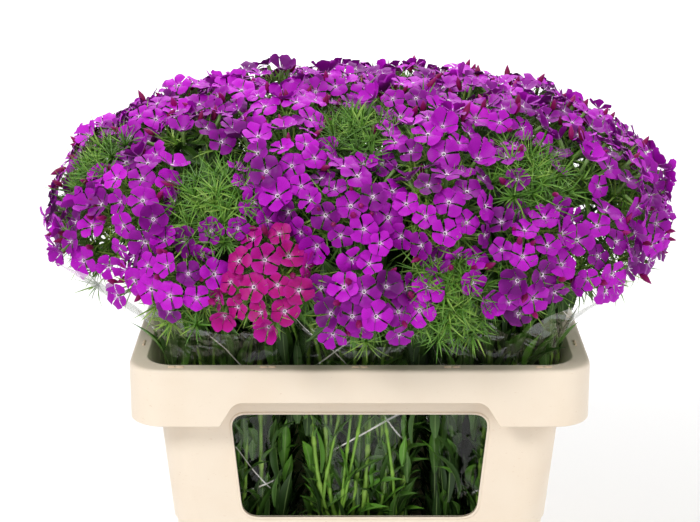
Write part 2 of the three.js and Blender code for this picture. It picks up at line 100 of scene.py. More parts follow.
CORE_LEVELS = ((0.16, 150), (0.4, 215), (0.5, 320), (0.64, 384), (0.7, 440), (0.36, 480))
CORE_DEPTH = 34
FLORET_KINDS = 5
BUD_KIND = 5
MM = 0.001  # in metres

# Lengths in millimetres and counts of what is drawn over the frame
DARK_BELOW = 400
LIGHT_ABOVE = 540
FLORET_ROUNDS = 60
KIND_WEIGHTS = (4, 3, 1.6, 2.4, 0.8)
BUD_SHARE = 0.42
BUD_SIZE = (8, 12)
NUB_WEAR = 0.45
# the window lips get a negative share of the worn colour: a painted highlight, meant to make them paler
# than the clean cream
LIP_HIGHLIGHT = -0.35
# the core's near-black tone is painted shade deep inside each bunch
CORE_SHADE_TONE = 0.04
CORE_GRAIN = 0.09
WALL_SHARE = 0.95
FILM_SHARE = 0.98
HEAD_RISE = 29
HEAD_FALL = 17
SIDE_STEMS = 3
STEM_STEP = 4.0
STEM_SIDES = 7
FOOT_SPREAD = 21
FIRST_NODE = (150, 190)
NODE_SPACING = (40, 58)
LAST_NODE = 14  # from the stem's end
NODE_SWELL = 0.55
NODE_LENGTH = 3.2
NODE_REACH = 7
NECK_HEIGHT = 140
WAIST_HEIGHT = 212
TOP_HEIGHT = 338
CALYX_WIDTH = 3.4
CALYX_LENGTH = 15
TUFT_NEEDLES = 22
COLLAR_NEEDLES = 10
FRINGE_NEEDLES = 14
LEAF_SAG = 0.36
LEAF_CUT = 0.8
LEAF_CUTS = 9
SHORTEST_LEAF = 14  # what has to be cut shorter is left out
NUB_SPACING = 79
NUB_OFFSET = 0.58  # from the middle of a pair, in lengths of a nub
HEAD_REACH = 44
EDGE_FLORETS = 64
TUFT_ROSETTES = 24
TUFT_RADIUS = 38
TUFT_RISE = 13
ROSETTE_SPACING = 7.6
FRINGE_LEAVES = 16
FRINGE_ROSETTES = 13
SIDE_LEAVES = 220
SIDE_LEAVES_FROM = 262
INNER_LEAVES = 620
INNER_LEAVES_FROM = 112
LEAF_TOP = 392
FIRST_LEAVES = 128
CORE_SIDES = 22
CORE_STEP = 14
FILM_COLUMNS = 132
FILM_ROWS = 34
FILM_BOTTOM = 198
FILM_NARROW = 190
FILM_WIDE = 332
FILM_PRESSED = (322, 352)  # where the rim holds it flatter
FILM_RAGGED = 13
LOOP_STEP = 26
WING_OUT = 0.74
WING_FORWARD = 0.12
CAMERA_PLACE = (-0.0085, -1.635, 0.886)  # in metres


def linear(hex_value):
    """A hex sRGB colour as linear red, green, blue and alpha."""
    channels = [int(hex_value[i : i + 2], 16) / 255 for i in (1, 3, 5)]
    return (*[c / 12.92 if c <= 0.04045 else ((c + 0.055) / 1.055) ** 2.4 for c in channels], 1.0)


def swatch(name, description, hex_value):
    """A colour property whose default is a hex sRGB colour."""
    return FloatVectorProperty(
        name=name,
        description=description,
        subtype="COLOR",
        size=4,
        min=0,
        max=1,
        default=linear(hex_value),
    )


def length(name, description, millimetres):
    """A length property in metres whose default is given in millimetres."""
    return FloatProperty(
        name=name,
        description=description,
        default=millimetres * MM,
        min=0,
        subtype="DISTANCE",
        unit="LENGTH",
        precision=4,
    )


class BucketSettings(bpy.types.PropertyGroup):
    """Sizes and colours of the moulded bucket."""

    cream: swatch("Cream", "Colour of the clean polypropylene", "#FBEBD6")
    worn: swatch("Worn", "Colour of scuffed and handled places", "#D9B48C")
    lip_rise: length("Window lip", "How far the lip round a window stands out", 0.7)
    nub_length: length("Stacking nub", "Length of one of the low nubs on the rim", 6.4)


class FlowerSettings(bpy.types.PropertyGroup):
    """Sizes and colours of the florets."""

    floret_radius: length("Floret radius", "From a floret's eye to the end of a petal", 13.2)
    floret_spacing: length("Floret spacing", "Distance that florets keep over the dome", 25.4)
    floret_count: IntProperty(
        name="Floret places", description="Places over the dome for a floret", default=860, min=1
    )
    violet: swatch("Violet", "The darkest petals, in the shade of others", "#5E0064")
    magenta: swatch("Magenta", "Most petals", "#B205BC")
    crimson: swatch("Crimson", "Petals of the redder heads", "#B4007A")
    bud: swatch("Bud", "Petal tips of the closed buds", "#7A0836")


class GreenerySettings(bpy.types.PropertyGroup):
    """Sizes and colours of stems, leaves and bracts."""

    stem_radius: length("Stem radius", "Radius between two nodes of a stem", 1.9)
    leaf_length: length("Leaf length", "Length of a full-grown leaf", 66)
    needle_length: length("Bract length", "Length of a needle-shaped bract", 25)
    shade: swatch("Deep shade", "Foliage far inside a bunch", "#0B1507")
    leaf: swatch("Leaf", "Upper side of a leaf", "#4C762A")
    stem: swatch("Stem", "Young stems and their nodes", "#A4C858")
    bract: swatch("Bract", "Tips of the fresh bracts", "#A8D048")


class FilmSettings(bpy.types.PropertyGroup):
    """The clear sleeves round the bunches."""

    crinkle: length("Crinkle", "How deep the creases of the film are", 4.0)
    crease_spacing: length("Crease spacing", "Distance from crease to crease", 34)


class StageSettings(bpy.types.PropertyGroup):
    """Floor and camera."""

    floor: swatch("Floor", "Colour of the studio floor", "#F4F4F4")
    lens: FloatProperty(
        name="Lens", description="Focal length on a 36 mm sensor", default=95.14, min=1, unit="CAMERA"
    )
    camera_tilt: FloatProperty(
        name="Camera tilt",
        description="How far the camera looks down",
        default=math.radians(16.8),
        subtype="ANGLE",
        unit="ROTATION",
    )


# Helpers for nodes and meshes


def add(tree, kind, inputs=None, **settings):
    """Adds one node to a tree, with its settings and its input values or links."""
    made = tree.nodes.new(kind)
    for key, value in settings.items():
        setattr(made, key, value)
    for socket, value in (inputs or {}).items():
        target = made.inputs[socket]
        if isinstance(value, bpy.types.NodeSocket):
            tree.links.new(value, target)
        else:
            target.default_value = value
    return made


def new_object(name, mesh):
    """A linked object for a mesh, at the origin."""
    made = bpy.data.objects.new(name, mesh)
    bpy.context.scene.collection.objects.link(made)
    return made


def mesh_of(name, points, faces):
    """A smooth mesh from points in metres."""
    mesh = bpy.data.meshes.new(name)
    mesh.from_pydata([tuple(point) for point in points], [], faces)
    mesh.polygons.foreach_set("use_smooth", [True] * len(mesh.polygons))
    mesh.update()
    return mesh


def grid_faces(rows, width, closed):
    """The quads between rows of points; a closed grid joins its last column to its first."""
    faces = []
    for row in range(rows):
        for i in range(width if closed else width - 1):
            here = row * width + i
            beside = row * width + (i + 1) % width
            faces.append((here, beside, beside + width, here + width))
    return faces


def settled(piece):
    """Applies a piece's modifiers, so that it is one plain mesh."""
    graph = bpy.context.evaluated_depsgraph_get()
    mesh = bpy.data.meshes.new_from_object(piece.evaluated_get(graph))
    mesh.name = piece.name
    piece.modifiers.clear()
    piece.data = mesh
    return piece


def discard(*pieces):
    """Removes helper objects."""
    for piece in pieces:
        bpy.data.objects.remove(piece)


def joined(name, pieces):
    """Joins several objects into one."""
    with bpy.context.temp_override(
        active_object=pieces[0], selected_editable_objects=pieces, selected_objects=pieces
    ):
        bpy.ops.object.join()
    pieces[0].name = name
    pieces[0].data.name = name
    return pieces[0]


def set_input(modifier, name, value):
    """Sets a geometry nodes input, found by its name."""
    for item in modifier.node_group.interface.items_tree:
        if item.item_type == "SOCKET" and item.in_out == "INPUT" and item.name == name:
            modifier[item.identifier] = value
            return
    raise ValueError(f"{modifier.node_group.name} has no input {name}")


def maths(tree, operation, *values):
    """The result of a math node."""
    return add(tree, "ShaderNodeMath", dict(enumerate(values)), operation=operation).outputs[0]


def remap(tree, value, low, high, to_low, to_high):
    """A value moved from one range into another, and held within it."""
    inputs = {"Value": value, 1: low, 2: high, 3: to_low, 4: to_high}
    return add(tree, "ShaderNodeMapRange", inputs).outputs[0]


def dressed(piece, tree, inputs):
    """Runs a geometry node tree over a piece, and keeps the result as its mesh."""
    modifier = piece.modifiers.new("dressed", "NODES")
    modifier.node_group = tree
    for name, value in inputs.items():
        set_input(modifier, name, value)
    return settled(piece)


def finish_piece(piece, nodes):
    """Declares a finished piece: it rides on the bucket, and stands for CAD nodes."""
    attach(piece, "root")
    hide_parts(*nodes)


# Places of bunches, flower heads and tufts, by the rules of the CAD frame


def share(z):
    """Half-sizes in millimetres of the space that all bunches share at a height."""
    inside = TAPER * min(z, LIP_BOTTOM) - WALL
    flare = FLARE * max(0, z - FLARE_START)
    return BASE_LENGTH / 2 + inside + flare, BASE_WIDTH / 2 + inside + flare


class Bunch:
    """One sleeved bunch: its place in the grid and its flower heads."""

    def __init__(self, number):
        column = (number - 1) % COLUMNS
        row = (number - 1) // COLUMNS
        self.number = number
        self.u = (2 * column + 1) / COLUMNS - 1
        self.v = (2 * row + 1) / ROWS - 1
        self.half_u = 1 / COLUMNS
        self.half_v = 1 / ROWS
        self.sites = []

    def point(self, across, along, z):
        """The point at a share of the way from the bunch's middle to its sides."""
        half_x, half_y = share(z)
        return Vector(
            ((self.u + across * self.half_u) * half_x, (self.v + along * self.half_v) * half_y, z)
        )

    def shares(self, point):
        """How far a point lies from the bunch's middle, as shares of the way to its sides."""
        half_x, half_y = share(point.z)
        return (
            (point.x / half_x - self.u) / self.half_u,
            (point.y / half_y - self.v) / self.half_v,
        )

    def holds(self, point):
        """Whether a point lies within the sleeve, and well within the bucket's own walls."""
        across, along = self.shares(point)
        near_wall = max(abs(self.u + across * self.half_u), abs(self.v + along * self.half_v))
        return near_wall < WALL_SHARE and max(abs(across), abs(along)) < FILM_SHARE


def plan_size(x, y):
    return (abs(x / DOME.x) ** PLAN_POWER + abs(y / DOME.y) ** PLAN_POWER) ** (1 / PLAN_POWER)


def onto_dome(point):
    """Moves a point, given from the dome's centre, along its own direction onto the dome."""
    point.z = max(0, point.z)
    size = plan_size(point.x, point.y) ** DOME_POWER + (point.z / DOME.z) ** DOME_POWER
    return point / size ** (1 / DOME_POWER)


def dome_normal(point):
    slope = plan_size(point.x, point.y) ** (DOME_POWER - PLAN_POWER)
    return Vector(
        (
            math.copysign(slope * abs(point.x / DOME.x) ** (PLAN_POWER - 1), point.x) / DOME.x,
            math.copysign(slope * abs(point.y / DOME.y) ** (PLAN_POWER - 1), point.y) / DOME.y,
            (point.z / DOME.z) ** (DOME_POWER - 1) / DOME.z,
        )
    ).normalized()


def spiral(count):
    """Starting places for an even cover of the dome."""
    places = []
    for i in range(count):
        rise = 1 - (i + 0.5) / count
        out = math.sqrt(1 - rise * rise)
        turn = FIRST_TURN + i * GOLDEN_ANGLE
        start = Vector((out * math.cos(turn) * DOME.x, out * math.sin(turn) * DOME.y, rise * DOME.z))
        places.append(onto_dome(start))
    return places


def lifted(place):
    """A place on the dome, whose ends stand higher, and the height of its lowest petals."""
    lift = END_LIFT * (place.x / DOME.x) ** 2
    base = Vector((place.x, place.y, DOME_CENTRE + place.z + lift * (1 - place.z / DOME.z)))
    return base, LOWEST_PETAL + lift


class Site:
    """The place of one flower head or tuft."""

    def __init__(self, number, place):
        self.number = number
        self.point, self.lowest = lifted(place)
        self.normal = dome_normal(place)
        self.tuft = number in TUFT_SITES


def dome_sites():
    """Evens out the places of heads and tufts, and gives each to its bunch."""
    places = spiral(SITE_COUNT)
    for _ in range(SITE_ROUNDS):
        for i, place in enumerate(places):
            push = Vector((0, 0, 0))
            for j, other in enumerate(places):
                away = place - other
                apart = away.length
                if i == j or apart > SITE_SPACING:
                    continue
                push += away * ((SITE_SPACING - apart) / apart / 6)
            places[i] = onto_dome(place + push)
    sites = [Site(i + 1, place) for i, place in enumerate(places)]
    bunches = [Bunch(number + 1) for number in range(COLUMNS * ROWS)]
    for site in sites:
        column = math.floor(((site.point.x / DOME.x) * 0.95 + 1) * 0.5 * COLUMNS)
        row = 0 if site.point.y < 0 else 1
        bunches[row * COLUMNS + column].sites.append(site)
    return sites, bunches


def floret_places(count, spacing):
    """Even places for single florets, pushed apart over the whole dome at once."""
    points = np.array([tuple(place) for place in spiral(count)])
    half = np.array(tuple(DOME))
    for _ in range(FLORET_ROUNDS):
        away = points[:, None, :] - points[None, :, :]
        apart = np.linalg.norm(away, axis=2)
        np.fill_diagonal(apart, 1e9)
        weight = np.where(apart < spacing, (spacing - apart) / apart / 6, 0)
        points = points + (away * weight[:, :, None]).sum(axis=1)
        points[:, 2] = np.maximum(points[:, 2], 0)
        scaled = np.abs(points / half)
        plan = (scaled[:, 0] ** PLAN_POWER + scaled[:, 1] ** PLAN_POWER) ** (1 / PLAN_POWER)
        size = (plan**DOME_POWER + scaled[:, 2] ** DOME_POWER) ** (1 / DOME_POWER)
        points = points / size[:, None]
    return [Vector(point) for point in points]


SITES, BUNCHES = dome_sites()


def turn_to(direction, facing):
    """A quaternion that takes local Z to a direction and keeps local Y towards facing."""
    z = direction.normalized()
    x = facing.cross(z)
    if x.length < 1e-4:
        x = z.orthogonal()
    x.normalize()
    y = z.cross(x)
    return Matrix((x, y, z)).transposed().to_quaternion()


def any_way(rng):
    """A random vector that favours no direction."""
    return Vector((rng.gauss(0, 1), rng.gauss(0, 1), rng.gauss(0, 1)))


def tilted(direction, amount, rng):
    """A direction turned a little at random."""
    return (direction + amount * any_way(rng)).normalized()


def spoke(axis, turn):
    """A direction square to an axis, at an angle round it."""
    right = axis.orthogonal().normalized()
    return right * math.cos(turn) + axis.cross(right) * math.sin(turn)


def swung(axis, turn):
    """A direction square to an axis, swung round it by a rotation matrix."""
    side = axis.orthogonal().normalized()
    side.rotate(Matrix.Rotation(turn, 3, axis))
    return side


def between(a, b, c, d, t):
    """A point on the smooth curve from b to c, which comes from a and goes on to d."""
    bend = (2 * a - 5 * b + 4 * c - d) * t * t
    return 0.5 * (2 * b + (c - a) * t + bend + (3 * b - a - 3 * c + d) * t**3)


class Scatter:
    """Collects places for a shape that repeats, in millimetres, for the geometry nodes."""

    def __init__(self):
        self.places = []
        self.turns = []
        self.sizes = []
        self.kinds = []
        self.tones = []

    def put(self, place, direction, facing, size, kind, tone):
        self.places.append(tuple(place * MM))
        self.turns.append(tuple(turn_to(direction, facing)))
        self.sizes.append(tuple(value * MM for value in size))
        self.kinds.append(kind)
        self.tones.append(tone)

    def as_object(self, name):
        mesh = bpy.data.meshes.new(name)
        mesh.from_pydata(self.places, [], [])
        for label, kind, field, values in (
            ("turn", "QUATERNION", "value", self.turns),
            ("size", "FLOAT_VECTOR", "vector", self.sizes),
            ("kind", "INT", "value", self.kinds),
            ("tone", "FLOAT", "value", self.tones),
        ):
            layer = mesh.attributes.new(label, kind, "POINT")
            layer.data.foreach_set(field, np.array(values).ravel())
        return new_object(name, mesh)


# Geometry node trees


def new_tree(name, inputs):
    """A geometry node tree and the outputs of its input node."""
    tree = bpy.data.node_groups.new(name, "GeometryNodeTree")
    for label, kind in inputs:
        tree.interface.new_socket(label, in_out="INPUT", socket_type=f"NodeSocket{kind}")
    tree.interface.new_socket("Geometry", in_out="OUTPUT", socket_type="NodeSocketGeometry")
    return tree, add(tree, "NodeGroupInput").outputs


def stored(tree, name, kind):
    """What each point says under an attribute's name."""
    node = add(tree, "GeometryNodeInputNamedAttribute", {"Name": name}, data_type=kind)
    return node.outputs["Attribute"]


def painted(tree, geometry, material):
    """Ends a tree: its geometry gets a material."""
    result = add(tree, "GeometryNodeSetMaterial", {"Geometry": geometry, "Material": material})
    add(tree, "NodeGroupOutput", {"Geometry": result.outputs["Geometry"]})
    return tree


def scatter_tree(name, kinds, extras=()):
    """A tree that sets one of several shapes on each point, turned and sized as the point says."""
    objects = [(label, "Object") for label in (*kinds, *extras)]
    tree, given = new_tree(
        name, [("Points", "Geometry"), *objects, ("Scale", "Float"), ("Material", "Material")]
    )
    shapes = add(tree, "GeometryNodeJoinGeometry")
    for kind in reversed(kinds):
        shape = add(tree, "GeometryNodeObjectInfo", {"Object": given[kind], "As Instance": True})
        tree.links.new(shape.outputs["Geometry"], shapes.inputs["Geometry"])
    scaled = add(
        tree,
        "ShaderNodeVectorMath",
        {0: stored(tree, "size", "FLOAT_VECTOR"), "Scale": given["Scale"]},
        operation="SCALE",
    )
    placed = add(
        tree,
        "GeometryNodeInstanceOnPoints",
        {
            "Points": given["Points"],
            "Instance": shapes.outputs["Geometry"],
            "Pick Instance": True,
            "Instance Index": stored(tree, "kind", "INT"),
            "Rotation": stored(tree, "turn", "QUATERNION"),
            "Scale": scaled.outputs["Vector"],
        },
    )
    real = add(tree, "GeometryNodeRealizeInstances", {"Geometry": placed.outputs["Instances"]})
    whole = add(tree, "GeometryNodeJoinGeometry", {"Geometry": real.outputs["Geometry"]})
    for extra in extras:
        shape = add(tree, "GeometryNodeObjectInfo", {"Object": given[extra]})
        tree.links.new(shape.outputs["Geometry"], whole.inputs["Geometry"])
    return painted(tree, whole.outputs["Geometry"], given["Material"])


def stem_tree():
    """A tree that thickens each line into a stem with swollen nodes."""
    tree, given = new_tree(
        "Stems along lines",
        [("Lines", "Geometry"), ("Radius", "Float"), ("Sides", "Int"), ("Material", "Material")],
    )
    lines = add(tree, "GeometryNodeMeshToCurve", {"Mesh": given["Lines"]})
    radius = maths(tree, "MULTIPLY", stored(tree, "swell", "FLOAT"), given["Radius"])
    section = add(
        tree, "GeometryNodeCurvePrimitiveCircle", {"Resolution": given["Sides"], "Radius": 1}
    )
    swept = add(
        tree,
        "GeometryNodeCurveToMesh",
        {
            "Curve": lines.outputs["Curve"],
            "Profile Curve": section.outputs["Curve"],
            "Scale": radius,
            "Fill Caps": True,
        },
    )
    smooth = add(tree, "GeometryNodeSetShadeSmooth", {"Geometry": swept.outputs["Mesh"]})
    real = add(tree, "GeometryNodeRealizeInstances", {"Geometry": smooth.outputs["Geometry"]})
    return painted(tree, real.outputs["Geometry"], given["Material"])


# Shapes that repeat, drawn at unit size


def with_uv(mesh, uvs):
    """Gives each vertex of a mesh its place across and along the shape."""
    layer = mesh.uv_layers.new(name="UVMap")
    loops = np.empty(len(mesh.loops), dtype=np.int32)
    mesh.loops.foreach_get("vertex_index", loops)
    layer.data.foreach_set("uv", np.array(uvs, dtype=np.float32)[loops].ravel())
    return mesh


# Rows of a petal: share of its length, half-width, rise, and how far the row's ends fall back
PETAL_ROWS = (
    (0.09, 0.05, -0.14, 0.0),
    (0.44, 0.25, 0.01, 0.02),
    (0.78, 0.49, 0.05, 0.07),
    (1.0, 0.35, 0.02, 0.13),
)
PETAL_COLUMNS = (-1, -0.62, -0.2, 0.2, 0.62, 1)


def petal(points, uvs, faces, turn, form, rng):
    """One rounded petal that narrows to its claw, with a shallow wavy rim."""
    reach = rng.uniform(0.9, 1.05)
    broad = rng.uniform(0.86, 1.04)
    roll = rng.uniform(0.02, 0.1)
    droop = rng.uniform(-0.05, 0.12)
    phase = rng.uniform(0, 6)
    start = len(points)
    for t, half, rise, fall in PETAL_ROWS:
        for s in PETAL_COLUMNS:
            wave = 0.02 * math.sin(5.5 * s + phase) * t * t
            along = t * reach - fall * abs(s) ** 2.2 + wave
            across = s * half * broad
            height = rise + form * t * t - droop * t**3 + roll * s * t
            height += 0.05 * math.sin(2.9 * s + phase) * t * t
            points.append(
                (
                    along * math.cos(turn) - across * math.sin(turn),
                    along * math.sin(turn) + across * math.cos(turn),
                    height,
                )
            )
            uvs.append((0.5 + 0.5 * s, t))
    for a, b, c, d in grid_faces(len(PETAL_ROWS) - 1, len(PETAL_COLUMNS), closed=False):
        faces.append((start + a, start + d, start + c, start + b))


def floret_shape(variant):
    """A five-petalled floret of radius 1, opening towards +Z, with its eye and styles."""
    rng = random.Random(200 + variant)
    form = (0.02, 0.12, 0.3, -0.1, 0.55)[variant]
    points = []
    uvs = []
    faces = []
    for k in range(5):
        petal(points, uvs, faces, 2 * math.pi * (k + rng.uniform(-0.06, 0.06)) / 5, form, rng)
    hub = len(points)
    points.append((0, 0, -0.2))
    uvs.append((0.5, 0.0))
    for k in range(8):
        turn = 2 * math.pi * k / 8
        points.append((0.13 * math.cos(turn), 0.13 * math.sin(turn), -0.09))
        uvs.append((0.5, 0.1))
        faces.append((hub, hub + 1 + k, hub + 1 + (k + 1) % 8))
    for k in range(2):
        turn = math.pi * (k + rng.uniform(-0.2, 0.2))
        lean = Vector((math.cos(turn), math.sin(turn), 0))
        side = Vector((-lean.y, lean.x, 0)) * 0.02
        base = len(points)
        for place, wide in (
            (Vector((0, 0, -0.12)), 1.0),
            (0.14 * lean + Vector((0, 0, 0.2)), 0.5),
        ):
            points.extend((tuple(place - side * wide), tuple(place + side * wide)))
            uvs.extend(((0.5, -0.5), (0.5, -0.5)))
        faces.append((base, base + 1, base + 3, base + 2))
    return with_uv(mesh_of("floret", points, faces), uvs)


def spindle_shape(name, rings, sides):
    """A closed spindle along +Z from rings of radius and height."""
    points = []
    uvs = []
    for ring, (radius, z) in enumerate(rings):
        for i in range(sides):
            turn = 2 * math.pi * (i + 0.25 * ring) / sides
            points.append((radius * math.cos(turn), radius * math.sin(turn), z))
            uvs.append((0.5, 0.45 + 0.5 * max(0, z)))
    faces = grid_faces(len(rings) - 1, sides, closed=True)
    faces.append(tuple(reversed(range(sides))))
    faces.append(tuple(range(len(points) - sides, len(points))))
    return with_uv(mesh_of(name, points, faces), uvs)


def blade_shape(name, rows, columns, width_at, slender, bend, fold, twist=0.0):
    """A leaf of length 1 along +Z: folded along its middle and bending away from +Y."""
    points = []
    uvs = []
    for r in range(rows + 1):
        t = r / rows
        half = width_at(t)
        for c in range(columns + 1):
            s = 2 * c / columns - 1
            angle = twist * t
            across = s * half * math.cos(angle)
            lift = slender * half * (fold * abs(s) + s * math.sin(angle))
            points.append((across, lift - bend * t * t, t * (1 - 0.3 * bend * t)))
            uvs.append((0.5 + 0.5 * s, t))
    faces = grid_faces(rows, columns + 1, closed=False)
    return new_object(name, with_uv(mesh_of(name, points, faces), uvs))


def lance(t):
    """Half-width of a lance-shaped leaf along its length, for a width of 1."""
    return 0.5 * (0.2 + 0.85 * math.sin(math.pi * min(1, 0.94 * t + 0.04)) ** 1.2) * (1 - t**6)


def strap(t):
    """Half-width of a narrow bract along its length, for a width of 1."""
    return 0.5 * (1 - 0.5 * t) * (1 - t**5) + 0.02


def greenery_shapes():
    """The shapes that scatter through a bunch, in the order of their kind numbers."""
    calyx_rings = ((0.3, 0), (0.5, 0.12), (0.46, 0.6), (0.52, 1.0))
    return [
        blade_shape("leaf_broad", 7, 4, lance, 0.18, 0.16, 0.5),
        blade_shape("leaf_arched", 7, 4, lance, 0.18, 0.42, 0.6, 0.5),
        blade_shape("leaf_straight", 6, 2, lance, 0.18, 0.06, 0.7, -0.3),
        blade_shape("bract_straight", 3, 2, strap, 0.06, 0.06, 0.8),
        blade_shape("bract_curved", 3, 2, strap, 0.06, 0.3, 0.8, 0.4),
        new_object("calyx", spindle_shape("calyx", calyx_rings, 6)),
    ]


LEAF_BROAD, LEAF_ARCHED, LEAF_STRAIGHT, BRACT_STRAIGHT, BRACT_CURVED, CALYX = range(6)
LEAVES = (LEAF_BROAD, LEAF_ARCHED, LEAF_STRAIGHT)
MORE_BROAD = (LEAF_BROAD, *LEAVES)


# Materials


def principled(name, values):
    """A new material, its tree and its Principled shader with some inputs set."""
    made = bpy.data.materials.new(name)
    made.use_nodes = True
    shader = made.node_tree.nodes["Principled BSDF"]
    for label, value in values.items():
        shader.inputs[label].default_value = value
    return made, made.node_tree, shader


def noise_pattern(tree, place, scale, detail):
    """A noise pattern: the larger the scale, the finer it is."""
    inputs = {"Vector": place, "Scale": scale, "Detail": detail}
    return add(tree, "ShaderNodeTexNoise", inputs).outputs["Fac"]


def bumped(tree, height, strength, distance):
    """A normal bent by a height pattern."""
    inputs = {"Height": height, "Strength": strength, "Distance": distance}
    return add(tree, "ShaderNodeBump", inputs).outputs["Normal"]


def ramp(tree, factor, stops):
    """A colour ramp through the given places and colours."""
    made = add(tree, "ShaderNodeValToRGB", {"Fac": factor})
    elements = made.color_ramp.elements
    while len(elements) < len(stops):
        elements.new(0.5)
    for element, (place, value) in zip(elements, stops):
        element.position = place
        element.color = value
    return made.outputs["Color"]


def mixed(tree, factor, first, second):
    """Two colours mixed by a factor."""
    made = add(tree, "ShaderNodeMix", data_type="RGBA")
    for socket, value in ((0, factor), (6, first), (7, second)):
        if isinstance(value, bpy.types.NodeSocket):
            tree.links.new(value, made.inputs[socket])
        else:
            made.inputs[socket].default_value = value
    return made.outputs[2]


def petal_material(flowers):
    """Dianthus petal: matte velvet cells give a saturated colour with a soft sheen at the edge."""
    made, tree, shader = principled(
        "dianthus petal",
        {
            "Roughness": 0.5,
            "Specular IOR Level": 0.2,
            "Sheen Weight": 0.04,
            "Sheen Roughness": 0.4,
        },
    )
    tone = add(tree, "ShaderNodeAttribute", attribute_name="tone").outputs["Fac"]
    halved = maths(tree, "MULTIPLY", tone, 0.5)
    flower = ramp(
        tree,
        halved,
        (
            (0.0, flowers.violet),
            (0.28, flowers.magenta),
            (0.42, linear("#C816D2")),
            (0.5, flowers.crimson),
            (0.75, linear("#8F0A52")),
            (1.0, flowers.bud),
        ),
    )
    uv = add(tree, "ShaderNodeUVMap", uv_map="UVMap").outputs["UV"]
    along = add(tree, "ShaderNodeSeparateXYZ", {"Vector": uv}).outputs["Y"]
    # painted shade in the petal's fine folds: darker stripes fan out along each petal, up to 1.6 mm
    # apart
    fold_stripes = add(
        tree,
        "ShaderNodeTexWave",
        {"Vector": uv, "Scale": 2.4, "Distortion": 1.2, "Detail": 1.0, "Detail Scale": 2.0},
        bands_direction="X",
    ).outputs["Fac"]
    fold_shade = remap(tree, fold_stripes, 0.0, 1.0, 0.0, 0.16)
    flower = mixed(tree, fold_shade, flower, linear("#7A0A80"))
    throat = remap(tree, along, 0.12, 0.34, 0.36, 0.0)
    flower = mixed(tree, throat, flower, linear("#F0B4F4"))
    # painted highlight: the outer end of each petal is brighter
    rim = remap(tree, along, 0.72, 1.0, 0.0, 0.16)
    flower = mixed(tree, rim, flower, linear("#DC30E0"))
    eye = ramp(
        tree,
        along,
        (
            (0.0, linear("#2A1024")),
            (0.058, linear("#43203C")),
            (0.072, linear("#FFF6FF")),
            (0.115, linear("#F3D6F2")),
        ),
    )
    inside = maths(tree, "LESS_THAN", along, 0.125)
    flower = mixed(tree, inside, flower, eye)
    style = maths(tree, "LESS_THAN", along, -0.1)
    flower = mixed(tree, style, flower, linear("#FBF0FA"))
    tree.links.new(flower, shader.inputs["Base Color"])
    return made


def foliage_material(greens):
    """Dianthus leaf and stem: a thin wax bloom over green flesh gives a soft satin light."""
    made, tree, shader = principled("waxy foliage", {"Roughness": 0.42, "Specular IOR Level": 0.4})
    tone = add(tree, "ShaderNodeAttribute", attribute_name="tone").outputs["Fac"]
    uv = add(tree, "ShaderNodeUVMap", uv_map="UVMap").outputs["UV"]
    parts = add(tree, "ShaderNodeSeparateXYZ", {"Vector": uv})
    across, along = parts.outputs["X"], parts.outputs["Y"]
    tip = maths(tree, "MULTIPLY", along, 0.1)
    fresh = maths(tree, "ADD", tone, tip)
    # the ramp's darkest stops, the deep shade and #263F17, paint the shade of foliage inside a bunch
    green = ramp(
        tree,
        fresh,
        (
            (0.0, greens.shade),
            (0.22, linear("#263F17")),
            (0.45, greens.leaf),
            (0.62, linear("#64A02C")),
            (0.8, greens.stem),
            (1.0, greens.bract),
        ),
    )
    # a pale midrib a tenth of the leaf's width
    off_middle = maths(tree, "SUBTRACT", across, 0.5)
    off_middle = maths(tree, "ABSOLUTE", off_middle)
    rib = remap(tree, off_middle, 0.015, 0.07, 0.5, 0.0)
    on_blade = maths(tree, "GREATER_THAN", along, 0.001)
    rib = maths(tree, "MULTIPLY", rib, on_blade)
    green = mixed(tree, rib, green, linear("#9DBB72"))
    place = add(tree, "ShaderNodeTexCoord").outputs["Object"]
    # blotches of growth about 9 mm across
    blotch = noise_pattern(tree, place, 110.0, 3.0)
    shaded = remap(tree, blotch, 0.3, 0.7, 0.0, 0.35)
    green = mixed(tree, shaded, green, linear("#24401A"))
    tree.links.new(green, shader.inputs["Base Color"])
    return made


def bucket_material(bucket):
    """Moulded polypropylene: a fine spark-eroded grain scatters light softly."""
    made, tree, shader = principled("moulded polypropylene", {"Roughness": 0.42})
    place = add(tree, "ShaderNodeTexCoord").outputs["Object"]
    worn = add(tree, "ShaderNodeAttribute", attribute_name="tone").outputs["Fac"]
    # clouds of handling dirt about 40 mm across
    cloud = noise_pattern(tree, place, 24.0, 5.0)
    dirt = remap(tree, cloud, 0.45, 0.8, 0.0, 0.18)
    cream = mixed(tree, dirt, bucket.cream, linear("#EBCFAE"))
    # scuffs: short marks stretched sideways, about 4 mm long
    stretched = add(
        tree, "ShaderNodeMapping", {"Vector": place, "Scale": (1.0, 1.0, 2.6)}
    ).outputs["Vector"]
    marks = remap(tree, noise_pattern(tree, stretched, 260.0, 2.0), 0.68, 0.76, 0.0, 0.3)
    cream = mixed(tree, marks, cream, linear("#D2AE8A"))
    # specks of plant dirt about 1 mm across, some 60 mm apart
    cells = add(
        tree, "ShaderNodeTexVoronoi", {"Vector": place, "Scale": 17.0}, feature="F1"
    ).outputs["Distance"]
    speck = maths(tree, "LESS_THAN", cells, 0.009)
    cream = mixed(tree, speck, cream, linear("#5B4632"))
    # worn colour on the stacking nubs; the window lips' negative share is a painted highlight, meant to
    # make them paler
    cream = mixed(tree, worn, cream, bucket.worn)
    tree.links.new(cream, shader.inputs["Base Color"])
    bump = bumped(tree, noise_pattern(tree, place, 1400.0, 1.0), 0.12, 0.0002)
    tree.links.new(bump, shader.inputs["Normal"])
    return made


